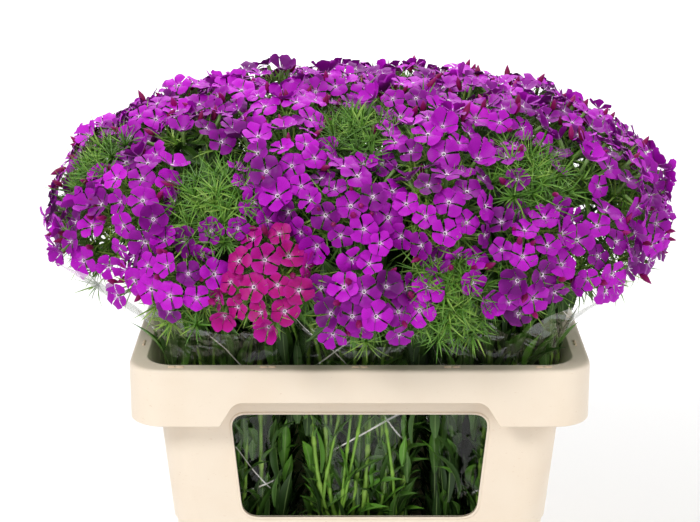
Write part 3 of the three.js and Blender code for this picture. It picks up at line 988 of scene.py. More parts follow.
def crease_glint_lines(tree, place, turn, apart):
    """Thin slanting lines where the film was folded, a distance in metres apart: the places of painted
    glints.
    """
    turned = add(
        tree, "ShaderNodeMapping", {"Vector": place, "Rotation": (0.0, turn, 0.2)}
    ).outputs["Vector"]
    folds = add(
        tree,
        "ShaderNodeTexWave",
        {"Vector": turned, "Scale": math.pi / 10 / apart, "Distortion": 3.5, "Detail": 1.0},
    ).outputs["Fac"]
    return remap(tree, folds, 0.9985, 0.9999, 0.0, 1.0)


def film_material():
    """Clear polypropylene film: nearly invisible straight on, with painted glints as white lines along
    its sharp creases.
    """
    made = bpy.data.materials.new("clear film")
    made.use_nodes = True
    tree = made.node_tree
    tree.nodes.remove(tree.nodes["Principled BSDF"])
    place = add(tree, "ShaderNodeTexCoord").outputs["Object"]
    # soft cockles about 20 mm across
    cockles = add(
        tree, "ShaderNodeTexNoise", {"Vector": place, "Scale": 50.0, "Detail": 2.0, "Distortion": 0.8}
    )
    bump = bumped(tree, cockles.outputs["Fac"], 0.9, 0.006)
    # painted glints: white lines on sharp creases 62 and 85 mm apart that run slanting both ways, in
    # patches
    rising = crease_glint_lines(tree, place, 0.7, 0.062)
    falling = crease_glint_lines(tree, place, -1.1, 0.085)
    both = maths(tree, "MAXIMUM", rising, falling)
    glint_patches = remap(tree, noise_pattern(tree, place, 16.0, 1.0), 0.46, 0.54, 0.0, 0.8)
    crease = maths(tree, "MULTIPLY", both, glint_patches)
    mirror = add(
        tree, "ShaderNodeBsdfGlossy", {"Color": (1, 1, 1, 1), "Roughness": 0.05, "Normal": bump}
    )
    haze = add(tree, "ShaderNodeBsdfDiffuse", {"Color": linear("#F4F1E8")})
    # along the painted glint lines the film turns from mirror to flat white haze
    skin = add(tree, "ShaderNodeMixShader", {0: crease, 1: mirror.outputs[0], 2: haze.outputs[0]})
    clear = add(tree, "ShaderNodeBsdfTransparent", {"Color": (0.985, 0.985, 0.975, 1)})
    slant = add(tree, "ShaderNodeFresnel", {"IOR": 1.3, "Normal": bump}).outputs[0]
    slant = maths(tree, "MINIMUM", slant, 0.3)
    # above the rim the film lies crumpled in several layers, so it looks milkier
    height = add(tree, "ShaderNodeSeparateXYZ", {"Vector": place}).outputs["Z"]
    layers = remap(tree, height, 0.33, 0.43, 0.02, 0.24)
    shine = maths(tree, "ADD", slant, layers)
    seen = maths(tree, "MAXIMUM", shine, crease)
    film = add(tree, "ShaderNodeMixShader", {0: seen, 1: clear.outputs[0], 2: skin.outputs[0]})
    tree.links.new(film.outputs[0], tree.nodes["Material Output"].inputs["Surface"])
    return made


def water_material():
    """Still water with a little plant sap: clear, with a smooth bright surface."""
    values = {"Base Color": linear("#C9D6C8"), "Roughness": 0.04, "IOR": 1.33, "Alpha": 0.55}
    return principled("flower water", values)[0]


# The bucket


def rounded_rectangle(half_x, half_y, radius, z, steps=12):
    points = []
    for corner in range(4):
        sign_x = 1 if corner in (0, 3) else -1
        sign_y = 1 if corner < 2 else -1
        for i in range(steps + 1):
            angle = (math.pi / 2) * (corner + i / steps)
            points.append(
                Vector(
                    (
                        sign_x * (half_x - radius) + radius * math.cos(angle),
                        sign_y * (half_y - radius) + radius * math.sin(angle),
                        z,
                    )
                )
            )
    return points


def body_ring(z, inset):
    return rounded_rectangle(
        BASE_LENGTH / 2 + TAPER * z - inset,
        BASE_WIDTH / 2 + TAPER * z - inset,
        BODY_RADIUS - inset,
        z,
    )


def rim_ring(z, inset):
    return rounded_rectangle(
        RIM_LENGTH / 2 - inset, RIM_WIDTH / 2 - inset, RIM_RADIUS - inset / 3, z
    )


def skin_over(name, rings, closed=False):
    """A smooth skin over rings of points in millimetres, capped at both ends unless closed."""
    count = len(rings[0])
    points = [point * MM for ring in rings for point in ring]
    rows = len(rings) if closed else len(rings) - 1
    faces = [
        tuple(corner % len(points) for corner in face)
        for face in grid_faces(rows, count, closed=True)
    ]
    if not closed:
        faces.append(tuple(reversed(range(count))))
        faces.append(tuple(range(len(points) - count, len(points))))
    return new_object(name, mesh_of(name, points, faces))


def trapezium(bottom, top, bottom_width, top_width, radius, grow=0.0, steps=8):
    """The outline of an upright trapezium with rounded corners, as x and z."""
    grown = radius + grow
    corners = [
        Vector((-bottom_width / 2 - grow, bottom - grow)),
        Vector((bottom_width / 2 + grow, bottom - grow)),
        Vector((top_width / 2 + grow, top + grow)),
        Vector((-top_width / 2 - grow, top + grow)),
    ]
    outline = []
    for i, corner in enumerate(corners):
        before = corner + (corners[i - 1] - corner).normalized() * grown
        after = corner + (corners[(i + 1) % 4] - corner).normalized() * grown
        for step in range(steps + 1):
            t = step / steps
            outline.append(before * (1 - t) ** 2 + corner * 2 * t * (1 - t) + after * t * t)
    return outline


def cutter(name, outline, from_y, to_y):
    """A prism along Y that cuts an opening."""
    rings = [[Vector((p.x, y, p.y)) for p in outline] for y in (to_y, from_y)]
    return skin_over(name, rings)


def window_lip(side, rise):
    """The thin raised lip round a window, on the wall's outer face."""
    rings = []
    for grow, out in ((0.0, -2.4), (0.0, rise), (0.5, rise * 1.15), (1.9, rise), (2.6, -0.4)):
        ring = []
        for p in trapezium(*WINDOW, grow=grow):
            wall = BASE_WIDTH / 2 + TAPER * p.y
            ring.append(Vector((p.x, side * (wall + out), p.y)))
        rings.append(ring)
    return skin_over("window_lip", rings, closed=True)


def mark_tone(piece, value):
    """Gives every vertex of a piece one value of the attribute that its material reads."""
    layer = piece.data.attributes.new("tone", "FLOAT", "POINT")
    layer.data.foreach_set("value", [value] * len(piece.data.vertices))


def outward(piece):
    """Turns a closed piece's faces outwards."""
    mesh = bmesh.new()
    mesh.from_mesh(piece.data)
    bmesh.ops.recalc_face_normals(mesh, faces=mesh.faces)
    mesh.to_mesh(piece.data)
    mesh.free()


def cut_by(piece, *tools):
    """Cuts openings into a piece and removes the tools."""
    for tool in tools:
        outward(tool)
        cut = piece.modifiers.new("opening", "BOOLEAN")
        cut.operation = "DIFFERENCE"
        cut.object = tool
        cut.solver = "EXACT"
    settled(piece)
    discard(*tools)


class AddBucket(bpy.types.Operator):
    """Builds the moulded bucket with its windows, lips and stacking nubs"""

    bl_idname = "dianthus.add_bucket"
    bl_label = "Bucket"

    def execute(self, context):
        settings = context.scene.dianthus_bucket
        under = BUCKET_HEIGHT - WALL
        shell = skin_over(
            "bucket_moulding",
            [
                body_ring(0, 4.2),
                body_ring(0.8, 2.8),
                body_ring(3, STEP_IN),
                body_ring(STEP_HEIGHT - STEP_IN, STEP_IN),
                body_ring(STEP_HEIGHT, 0),
                body_ring(LIP_BOTTOM - WALL, 0),
                rim_ring(under, FLANGE_WIDTH - WALL),
                rim_ring(under, WALL),
                rim_ring(SKIRT_BOTTOM + 0.6, WALL),
                rim_ring(SKIRT_BOTTOM, WALL - 0.8),
                rim_ring(SKIRT_BOTTOM, 0.8),
                rim_ring(SKIRT_BOTTOM + 0.8, 0),
                rim_ring(BUCKET_HEIGHT - 3.4, 0),
                rim_ring(BUCKET_HEIGHT - 1.6, 0.4),
                rim_ring(BUCKET_HEIGHT - 0.5, 1.4),
                rim_ring(BUCKET_HEIGHT, 3.2),
                rim_ring(BUCKET_HEIGHT, FLANGE_WIDTH - 2),
                rim_ring(BUCKET_HEIGHT - 0.6, FLANGE_WIDTH - 0.5),
                body_ring(LIP_BOTTOM, WALL),
                body_ring(FLOOR, WALL + STEP_IN),
            ],
        )
        outward(shell)
        reach = RIM_WIDTH / 2 + 2
        inside = RIM_WIDTH / 2 - WALL - 1
        cut_by(
            shell,
            cutter("windows", trapezium(*WINDOW), -reach, reach),
            cutter("front_notch", trapezium(*NOTCH), -reach, -inside),
            cutter("back_notch", trapezium(*NOTCH), inside, reach),
        )
        edge = shell.modifiers.new("edge", "BEVEL")
        edge.width = 0.0006
        edge.segments = 2
        edge.limit_method = "ANGLE"
        edge.angle_limit = math.radians(50)
        settled(shell)
        shell.data.set_sharp_from_angle(angle=math.radians(40))
        evened = shell.modifiers.new("evened", "WEIGHTED_NORMAL")
        evened.keep_sharp = True
        settled(shell)
        mark_tone(shell, 0.0)
        lips = []
        for side in (-1, 1):
            lip = window_lip(side, settings.lip_rise / MM)
            outward(lip)
            # painted highlight: the lip is meant to be paler than the wall
            mark_tone(lip, LIP_HIGHLIGHT)
            lips.append(lip)
        nubs = self.nubs(settings)
        piece = joined("bucket_moulding", [shell, *lips, nubs])
        piece.data.materials.clear()
        piece.data.materials.append(bucket_material(settings))
        finish_piece(piece, ["bucket"])
        return {"FINISHED"}

    def nubs(self, settings):
        """Low stacking nubs in pairs along the top of the rim."""
        places = Scatter()
        size = settings.nub_length / MM
        middle = FLANGE_WIDTH / 2 + 0.5
        up = Vector((0, 0, 1))
        for side in (-1, 1):
            for facing, steps in ((Vector((0, 1, 0)), 2), (Vector((1, 0, 0)), 1)):
                for step in range(-steps, steps + 1):
                    for pair in (-NUB_OFFSET, NUB_OFFSET):
                        along = NUB_SPACING * step + pair * size
                        if facing.y:
                            spot = (along, side * (RIM_WIDTH / 2 - middle))
                        else:
                            spot = (side * (RIM_LENGTH / 2 - middle), along)
                        place = Vector((*spot, BUCKET_HEIGHT))
                        places.put(place, up, facing, (size,) * 3, 0, NUB_WEAR)
        outline = [
            (0.5 * math.cos(a) * (1 if abs(math.cos(a)) > 0.4 else 0.95), 0.21 * math.sin(a))
            for a in (2 * math.pi * i / 16 for i in range(16))
        ]
        rings = [
            [Vector((x * grow, y * grow, z)) / MM for x, y in outline]
            for grow, z in ((1.0, -0.05), (1.0, 0.09), (0.9, 0.15), (0.7, 0.175))
        ]
        nub = skin_over("nub", rings)
        points = places.as_object("nub_places")
        dressed(points, scatter_tree("Stacking nubs", ["Nub"]), {"Nub": nub, "Scale": 1.0})
        discard(nub)
        return points


class AddWater(bpy.types.Operator):
    """Gives the water in the bucket's foot its surface"""

    bl_idname = "dianthus.add_water"
    bl_label = "Water"

    def execute(self, context):
        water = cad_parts["water"]
        material = water_material()
        for slot in water.material_slots:
            slot.link = "OBJECT"
            slot.material = material
        return {"FINISHED"}


# The florets


def seen_shade(point):
    """0 for florets far down the sides and 1 for those on top, as light falls on the dome."""
    return max(0.0, min(1.0, (point.z - DARK_BELOW) / (LIGHT_ABOVE - DARK_BELOW)))


# Where one floret stands: its centre, the way it faces, its size and its head
FloretPlace = namedtuple("FloretPlace", "centre axis radius head")


def nearest_head(point):
    return min(SITES, key=lambda site: (site.point - point).length_squared)


def place_florets(settings):
    """Spreads florets evenly over the dome, domed up over each flower head."""
    rng = random.Random(17)
    radius = settings.floret_radius / MM
    found = []
    for place in floret_places(settings.floret_count, settings.floret_spacing / MM):
        base, _ = lifted(place)
        normal = dome_normal(place)
        head = nearest_head(base)
        away = base - head.point
        far = min(1.0, away.length / HEAD_REACH)
        # how far a tuft keeps florets away, and the share left out round that
        bare, thin = (31, 0.3) if head.number in DENSE_TUFTS else (19, 0.34)
        if head.tuft and (away.length < bare or rng.random() < thin):
            continue
        if not head.tuft and far > 0.5 and rng.random() < 0.2 * far:
            continue
        out = away - normal * away.dot(normal)
        out = out.normalized() if out.length > 0.1 else Vector((0, 0, 0))
        lean = 0.7 * far
        axis = (normal * math.cos(lean) + out * math.sin(lean)).normalized()
        axis = tilted(axis, 0.2, rng)
        height = HEAD_RISE - HEAD_FALL * far * far + rng.uniform(-6, 2)
        if head.tuft:
            height -= 6
        centre = base + normal * height + out * (2 * far)
        size = radius * rng.uniform(0.8, 1.14)
        found.append(FloretPlace(centre, axis, size, head))
    # florets that hang a little below the dome's edge
    for i in range(EDGE_FLORETS):
        turn = 2 * math.pi * (i + rng.uniform(-0.3, 0.3)) / EDGE_FLORETS
        place = onto_dome(Vector((math.cos(turn) * DOME.x, math.sin(turn) * DOME.y, 0)))
        base, lowest = lifted(place)
        head = nearest_head(base)
        if head.tuft or rng.random() < 0.3:
            continue
        normal = dome_normal(place)
        drop = rng.uniform(8, 20)
        centre = base + normal * rng.uniform(14, 23) - Vector((0, 0, drop))
        centre.z = max(centre.z, lowest + radius)
        axis = tilted((normal + Vector((0, 0, -0.25))).normalized(), 0.2, rng)
        found.append(FloretPlace(centre, axis, radius * rng.uniform(0.86, 1.02), head))
    return found


FLORETS = []


class AddFlorets(bpy.types.Operator):
    """Sets florets and buds over every flower head, one piece for each bunch"""

    bl_idname = "dianthus.add_florets"
    bl_label = "Florets"

    def execute(self, context):
        settings = context.scene.dianthus_flowers
        FLORETS[:] = place_florets(settings)
        shapes = [new_object(f"floret_{i}", floret_shape(i)) for i in range(FLORET_KINDS)]
        bud = spindle_shape(
            "bud", ((0.16, -0.3), (0.26, 0.1), (0.24, 0.45), (0.12, 0.8), (0.02, 1.0)), 6
        )
        shapes.append(new_object("bud", bud))
        names = [f"Floret {i + 1}" for i in range(FLORET_KINDS)] + ["Bud"]
        tree = scatter_tree("Florets on their places", names)
        material = petal_material(settings)
        for bunch in BUNCHES:
            points = self.points(bunch).as_object(f"bunch_{bunch.number}_florets")
            inputs = {**dict(zip(names, shapes)), "Scale": 1.0, "Material": material}
            dressed(points, tree, inputs)
            nodes = [f"flower_head_{site.number}" for site in bunch.sites if not site.tuft]
            finish_piece(points, nodes)
        discard(*shapes)
        return {"FINISHED"}

    def points(self, bunch):
        rng = random.Random(300 + bunch.number)
        places = Scatter()
        mine = [floret for floret in FLORETS if floret.head in bunch.sites]
        for floret in mine:
            tone = rng.uniform(0.04, 0.86)
            tone -= 0.1 * (1 - seen_shade(floret.centre)) * rng.random()
            if floret.head.number in REDDER_HEADS:
                tone = rng.uniform(0.97, 1.12)
            spin = any_way(rng)
            kind = rng.choices(range(FLORET_KINDS), KIND_WEIGHTS)[0]
            places.put(floret.centre, floret.axis, spin, (floret.radius,) * 3, kind, tone)
        for floret in mine:
            if rng.random() > BUD_SHARE:
                continue
            side = floret.axis.orthogonal().normalized()
            turn = Matrix.Rotation(rng.uniform(0, 2 * math.pi), 3, floret.axis)
            way = turn @ side
            place = floret.centre + way * floret.radius * 0.95 - floret.axis * rng.uniform(1, 6)
            direction = (floret.axis + way * 0.4).normalized()
            size = rng.uniform(*BUD_SIZE)
            places.put(place, direction, way, (size,) * 3, BUD_KIND, rng.uniform(1.3, 1.95))
        return places


# Stems, leaves and bracts


def smooth_path(knots, spacing):
    """Points along a smooth curve through knots, about a spacing apart."""
    ends = [knots[0] * 2 - knots[1], *knots, knots[-1] * 2 - knots[-2]]
    path = []
    for i in range(1, len(ends) - 2):
        a, b, c, d = ends[i - 1 : i + 3]
        steps = max(1, round((c - b).length / spacing))
        path.extend(between(a, b, c, d, step / steps) for step in range(steps))
    path.append(knots[-1])
    return path


class StemLines:
    """Collects the lines that the stems follow, with how swollen each point is."""

    def __init__(self):
        self.points = []
        self.edges = []
        self.swell = []

    def put(self, path, swell):
        start = len(self.points)
        self.points.extend(tuple(point * MM) for point in path)
        self.edges.extend((start + i, start + i + 1) for i in range(len(path) - 1))
        self.swell.extend(swell)

    def as_object(self, name):
        mesh = bpy.data.meshes.new(name)
        mesh.from_pydata(self.points, self.edges, [])
        mesh.attributes.new("swell", "FLOAT", "POINT").data.foreach_set("value", self.swell)
        tones = [0.62 + 0.1 * s for s in self.swell]
        mesh.attributes.new("tone", "FLOAT", "POINT").data.foreach_set("value", tones)
        return new_object(name, mesh)


def fitting(bunch, base, way, facing, long):
    """A leaf's length, cut so that its bent tip stays within its sleeve below the rim."""
    sag = facing.normalized() * LEAF_SAG
    for _ in range(LEAF_CUTS):
        tip = base + (way - sag) * long
        middle = base + (way - 0.3 * sag) * (long / 2)
        if all(spot.z > FLARE_START or bunch.holds(spot) for spot in (middle, tip)):
            return long
        long *= LEAF_CUT
    return 0


def leaf_pair(places, bunch, joint, stem_way, turn, size, tone, rng):
    """Two leaves opposite each other at a node of a stem, kept inside their sleeve."""
    side = swung(stem_way, turn)
    for way in (side, -side):
        direction = (stem_way * rng.uniform(0.9, 1.5) + way * rng.uniform(0.35, 0.8)).normalized()
        facing = stem_way - way * 0.4
        long = fitting(bunch, joint, direction, facing, size * rng.uniform(0.75, 1.15))
        if long < SHORTEST_LEAF:
            continue
        kind = rng.choice(MORE_BROAD)
        shade = tone + rng.uniform(-0.1, 0.1)
        places.put(joint, direction, facing, (long * rng.uniform(0.16, 0.22), long, long), kind, shade)


def stem(lines, places, bunch, knots, settings, rng, thick):
    """One stem through its knots, with nodes and pairs of leaves along it."""
    path = smooth_path(knots, STEM_STEP)
    travelled = [0.0]
    for a, b in zip(path, path[1:]):
        travelled.append(travelled[-1] + (b - a).length)
    joints = []
    at = rng.uniform(*FIRST_NODE)
    while at < travelled[-1] - LAST_NODE:
        joints.append(at)
        at += rng.uniform(*NODE_SPACING)
    kept = []
    swell = []
    for i, (point, gone) in enumerate(zip(path, travelled)):
        near = min((abs(gone - joint) for joint in joints), default=99)
        # between two nodes every fourth point is enough
        if near > NODE_REACH and i % 4 and i < len(path) - 1:
            continue
        thin = 1 - 0.25 * gone / travelled[-1]
        kept.append(point)
        bulge = NODE_SWELL * math.exp(-((near / NODE_LENGTH) ** 2))
        swell.append(thick * thin * (1 + bulge))
    lines.put(kept, swell)
    turn = rng.uniform(0, math.pi)
    for joint in joints:
        i = min(range(len(path)), key=lambda k: abs(travelled[k] - joint))
        here = path[i]
        way = (path[min(i + 1, len(path) - 1)] - path[max(i - 1, 0)]).normalized()
        turn += math.pi / 2
        if here.z < FIRST_LEAVES:
            continue
        size = settings.leaf_length / MM * (0.8 if here.z < 400 else 0.62)
        tone = 0.42 if here.z < 330 else 0.36
        leaf_pair(places, bunch, here, way, turn, size, tone, rng)


def bract(places, base, direction, facing, long, tone, rng):
    kind = BRACT_STRAIGHT if rng.random() < 0.45 else BRACT_CURVED
    places.put(base, direction, facing, (1.5 * rng.uniform(0.8, 1.25), long, long), kind, tone)


def rosette(places, middle, axis, count, long, tone, rng):
    """Needle bracts that spray from one point round an axis."""
    start = rng.uniform(0, 6)
    for j in range(count):
        rise = 1 - 0.88 * (j + 0.5) / count
        around = start + j * GOLDEN_ANGLE
        flat = math.sqrt(1 - rise * rise)
        way = axis * rise + spoke(axis, around) * flat
        way = tilted(way, 0.09, rng)
        shade = tone + rng.uniform(-0.14, 0.12)
        bract(places, middle, way, axis, long * rng.uniform(0.7, 1.12), shade, rng)


def tuft(places, site, settings, rng):
    """A head still in bract: rosettes of needles over a low dome of their own."""
    needle = settings.needle_length / MM
    for i in range(TUFT_ROSETTES):
        far = ROSETTE_SPACING * math.sqrt(i + 0.2)
        out = spoke(site.normal, i * GOLDEN_ANGLE + site.number)
        lean = min(1.0, far / TUFT_RADIUS)
        middle = site.point + out * far + site.normal * (TUFT_RISE - TUFT_RISE * lean * lean)
        middle += Vector((rng.uniform(-3, 3), rng.uniform(-3, 3), rng.uniform(-2, 3)))
        if middle.z < site.lowest + 6:
            continue
        axis = tilted((site.normal + out * 0.75 * lean).normalized(), 0.12, rng)
        fresh = 0.82 if site.number in DENSE_TUFTS else 0.66
        rosette(places, middle, axis, TUFT_NEEDLES, 0.95 * needle, fresh - 0.16 * lean, rng)


def collar(places, floret, settings, rng):
    """The calyx under a floret and the bracts round it."""
    foot = floret.centre - floret.axis * (0.2 * floret.radius + CALYX_LENGTH)
    size = (CALYX_WIDTH, CALYX_WIDTH, CALYX_LENGTH)
    places.put(foot, floret.axis, Vector((0.3, 0.2, 1)), size, CALYX, rng.uniform(0.4, 0.6))
    needle = settings.needle_length / MM
    side = swung(floret.axis, rng.uniform(0, 2 * math.pi))
    start = foot + side * rng.uniform(2, 9) - floret.axis * rng.uniform(0, 6)
    axis = (floret.axis + side * rng.uniform(0, 0.5)).normalized()
    rosette(places, start, axis, COLLAR_NEEDLES, needle, rng.uniform(0.5, 0.78), rng)


def fringe(places, site, settings, rng):
    """Leaves and bracts under a head, which show between the florets and the rim."""
    for i in range(FRINGE_LEAVES):
        out = spoke(site.normal, 2 * math.pi * (i + rng.random()) / FRINGE_LEAVES)
        base = site.point - site.normal * rng.uniform(16, 44) + out * rng.uniform(0, 14)
        way = (out + site.normal * rng.uniform(0.1, 0.9)).normalized()
        long = rng.uniform(34, 56)
        tip = base + way * long
        if tip.z < site.lowest - 12:
            continue
        size = (long * rng.uniform(0.12, 0.2), long, long)
        places.put(base, way, site.normal, size, rng.choice(LEAVES), rng.uniform(0.24, 0.5))
    if site.normal.z > 0.6:
        return
    needle = settings.needle_length / MM
    for _ in range(FRINGE_ROSETTES):
        out = spoke(site.normal, rng.uniform(0, 2 * math.pi))
        base = site.point - site.normal * rng.uniform(-4, 14) + out * rng.uniform(4, 38)
        base.z = max(base.z, site.lowest + 6)
        axis = (site.normal + out * rng.uniform(-0.3, 0.6)).normalized()
        rosette(places, base, axis, FRINGE_NEEDLES, needle, rng.uniform(0.55, 0.85), rng)


def core_rings(bunch):
    """The middle of a bunch, as rings of points: a dark skin that paints the shade deep inside the
    foliage.
    """
    rings = []
    for (low_size, low), (high_size, high) in zip(CORE_LEVELS, CORE_LEVELS[1:]):
        steps = max(1, round((high - low) / CORE_STEP))
        for step in range(steps):
            t = step / steps
            rings.append((low_size + (high_size - low_size) * t, low + (high - low) * t))
    rings.append(CORE_LEVELS[-1])
    made = []
    for size, z in rings:
        half_x, half_y = share(z)
        high = min(0.97, max(0, z + CORE_DEPTH - DOME_CENTRE) / DOME.z)
        flat = (1 - high**DOME_POWER) ** (1 / DOME_POWER)
        in_x = min(1, (flat * DOME.x - CORE_DEPTH) / half_x)
        in_y = min(1, (flat * DOME.y - CORE_DEPTH) / half_y)
        ring = []
        for i in range(CORE_SIDES):
            turn = 2 * math.pi * i / CORE_SIDES
            point = bunch.point(size * math.cos(turn) * 0.92, size * math.sin(turn) * 0.92, z)
            point.x *= in_x
            point.y *= in_y
            rough = noise.noise(point * CORE_GRAIN + Vector((bunch.number, 0, 0)))
            middle = bunch.point(0, 0, z)
            middle.x *= in_x
            middle.y *= in_y
            ring.append(middle + (point - middle) * (0.93 + 0.14 * rough))
        made.append(ring)
    return made


class AddGreenery(bpy.types.Operator):
    """Grows stems, leaves, bracts and tufts, one piece for each bunch"""

    bl_idname = "dianthus.add_greenery"
    bl_label = "Stems and leaves"

    def execute(self, context):
        settings = context.scene.dianthus_greenery
        shapes = greenery_shapes()
        names = ["Broad leaf", "Arched leaf", "Straight leaf", "Straight bract", "Curved bract", "Calyx"]
        scatter = scatter_tree("Leaves and bracts", names, ["Stems", "Core"])
        thicken = stem_tree()
        material = foliage_material(settings)
        for bunch in BUNCHES:
            lines, places = self.grow(bunch, settings)
            stems = lines.as_object(f"bunch_{bunch.number}_stems")
            inputs = {"Radius": settings.stem_radius, "Sides": STEM_SIDES, "Material": material}
            dressed(stems, thicken, inputs)
            # a dark skin in the bunch's middle: painted shade between the stems and leaves
            core = skin_over("core", core_rings(bunch))
            mark_tone(core, CORE_SHADE_TONE)
            points = places.as_object(f"bunch_{bunch.number}_greenery")
            inputs = {**dict(zip(names, shapes)), "Stems": stems, "Core": core}
            dressed(points, scatter, {**inputs, "Scale": 1.0, "Material": material})
            discard(stems, core)
            finish_piece(points, [f"greenery_{bunch.number}"])
        discard(*shapes)
        return {"FINISHED"}

    def grow(self, bunch, settings):
        rng = random.Random(500 + bunch.number)
        lines = StemLines()
        places = Scatter()
        for site in bunch.sites:
            goal = site.point + site.normal * (8 if site.tuft else -2)
            self.rise(bunch, lines, places, goal, site.normal, settings, rng)
            for _ in range(SIDE_STEMS):
                out = swung(site.normal, rng.uniform(0, 2 * math.pi))
                goal = site.point + out * rng.uniform(12, 26) - site.normal * rng.uniform(4, 20)
                self.rise(bunch, lines, places, goal, site.normal, settings, rng)
        for site in bunch.sites:
            fringe(places, site, settings, rng)
            if site.tuft:
                tuft(places, site, settings, rng)
        for floret in FLORETS:
            if floret.head in bunch.sites:
                collar(places, floret, settings, rng)
        self.thicket(bunch, places, rng)
        return lines, places

    def rise(self, bunch, lines, places, goal, normal, settings, rng):
        """One stem from the water up through the sleeve's waist to its head."""
        turn = rng.uniform(0, 2 * math.pi)
        far = FOOT_SPREAD * math.sqrt(rng.random())
        foot = bunch.point(0, 0, 5) + Vector((far * math.cos(turn), far * math.sin(turn), 0))
        lean = Vector(bunch.shares(Vector((goal.x, goal.y, BUCKET_HEIGHT))))
        lean += Vector((rng.uniform(-0.4, 0.4), rng.uniform(-0.4, 0.4)))
        lean /= max(1.0, abs(lean.x), abs(lean.y))
        spread = rng.uniform(0.52, 0.8)
        cross = Vector((rng.uniform(-0.3, 0.3), rng.uniform(-0.12, 0.12)))
        neck = bunch.point(0.5 * lean.x - cross.x, 0.5 * lean.y, NECK_HEIGHT)
        low = bunch.point(lean.x * spread, lean.y * spread, WAIST_HEIGHT)
        rim = bunch.point(lean.x * spread + cross.x, lean.y * spread + cross.y, TOP_HEIGHT)
        bend = goal - normal * 0.42 * (goal - rim).length
        knots = [foot, neck, low, rim, bend, goal]
        stem(lines, places, bunch, knots, settings, rng, rng.uniform(0.75, 1.15))

    def thicket(self, bunch, places, rng):
        """Loose leaves that fill a bunch from below its sleeve's waist to its heads."""
        for _ in range(SIDE_LEAVES):
            z = rng.uniform(SIDE_LEAVES_FROM, LEAF_TOP)
            base = bunch.point(rng.choice((-1, 1)) * rng.uniform(0.74, 0.96), rng.uniform(-0.9, 0.9), z)
            way = Vector((rng.uniform(-0.12, 0.12), rng.uniform(-0.4, 0.4), 1)).normalized()
            facing = Vector((rng.uniform(-0.3, 0.3), rng.choice((-1, 1)), 0.2))
            long = fitting(bunch, base, way, facing, rng.uniform(34, 58))
            if long > SHORTEST_LEAF and bunch.holds(base):
                size = (long * rng.uniform(0.2, 0.28), long, long)
                places.put(base, way, facing, size, LEAF_STRAIGHT, rng.uniform(0.16, 0.42))
        for _ in range(INNER_LEAVES):
            z = rng.uniform(INNER_LEAVES_FROM, LEAF_TOP)
            turn = rng.uniform(0, 2 * math.pi)
            far = rng.uniform(0.46, 0.84)
            corner = 1 / max(abs(math.cos(turn)), abs(math.sin(turn)))
            base = bunch.point(far * corner * math.cos(turn), far * corner * math.sin(turn), z)
            aside = turn + rng.uniform(-0.9, 0.9)
            out = Vector((math.cos(aside), math.sin(aside), 0))
            way = (out * rng.uniform(-0.2, 0.6) + Vector((0, 0, 1))).normalized()
            facing = Vector((0, 0, 1)) - out * rng.uniform(0.1, 1.0)
            long = fitting(bunch, base, way, facing, rng.uniform(34, 62))
            if long < SHORTEST_LEAF:
                continue
            size = (long * rng.uniform(0.14, 0.24), long, long)
            # painted shade: leaves below 200 mm, low in the bucket, get a darker tone
            tone = rng.uniform(0.2, 0.54) - 0.12 * (z < 200)
            places.put(base, way, facing, size, rng.choice(MORE_BROAD), tone)


# The sleeves of clear film

# The loop of a sleeve, as shares of the way from its middle to its sides
SLEEVE_LOOP = [
    Vector((x * right - y * up, x * up + y * right))
    for right, up in ((1, 0), (0, 1), (-1, 0), (0, -1))
    for x, y in ((1, 0), (0.97, 0.66), (0.66, 0.97))
]
WING_TOPS = {1: 448, 3: 412, 4: 404, 6: 400}  # the corner sleeves' highest film, by bunch


def smooth_step(low, high, value):
    t = max(0.0, min(1.0, (value - low) / (high - low)))
    return t * t * (3 - 2 * t)


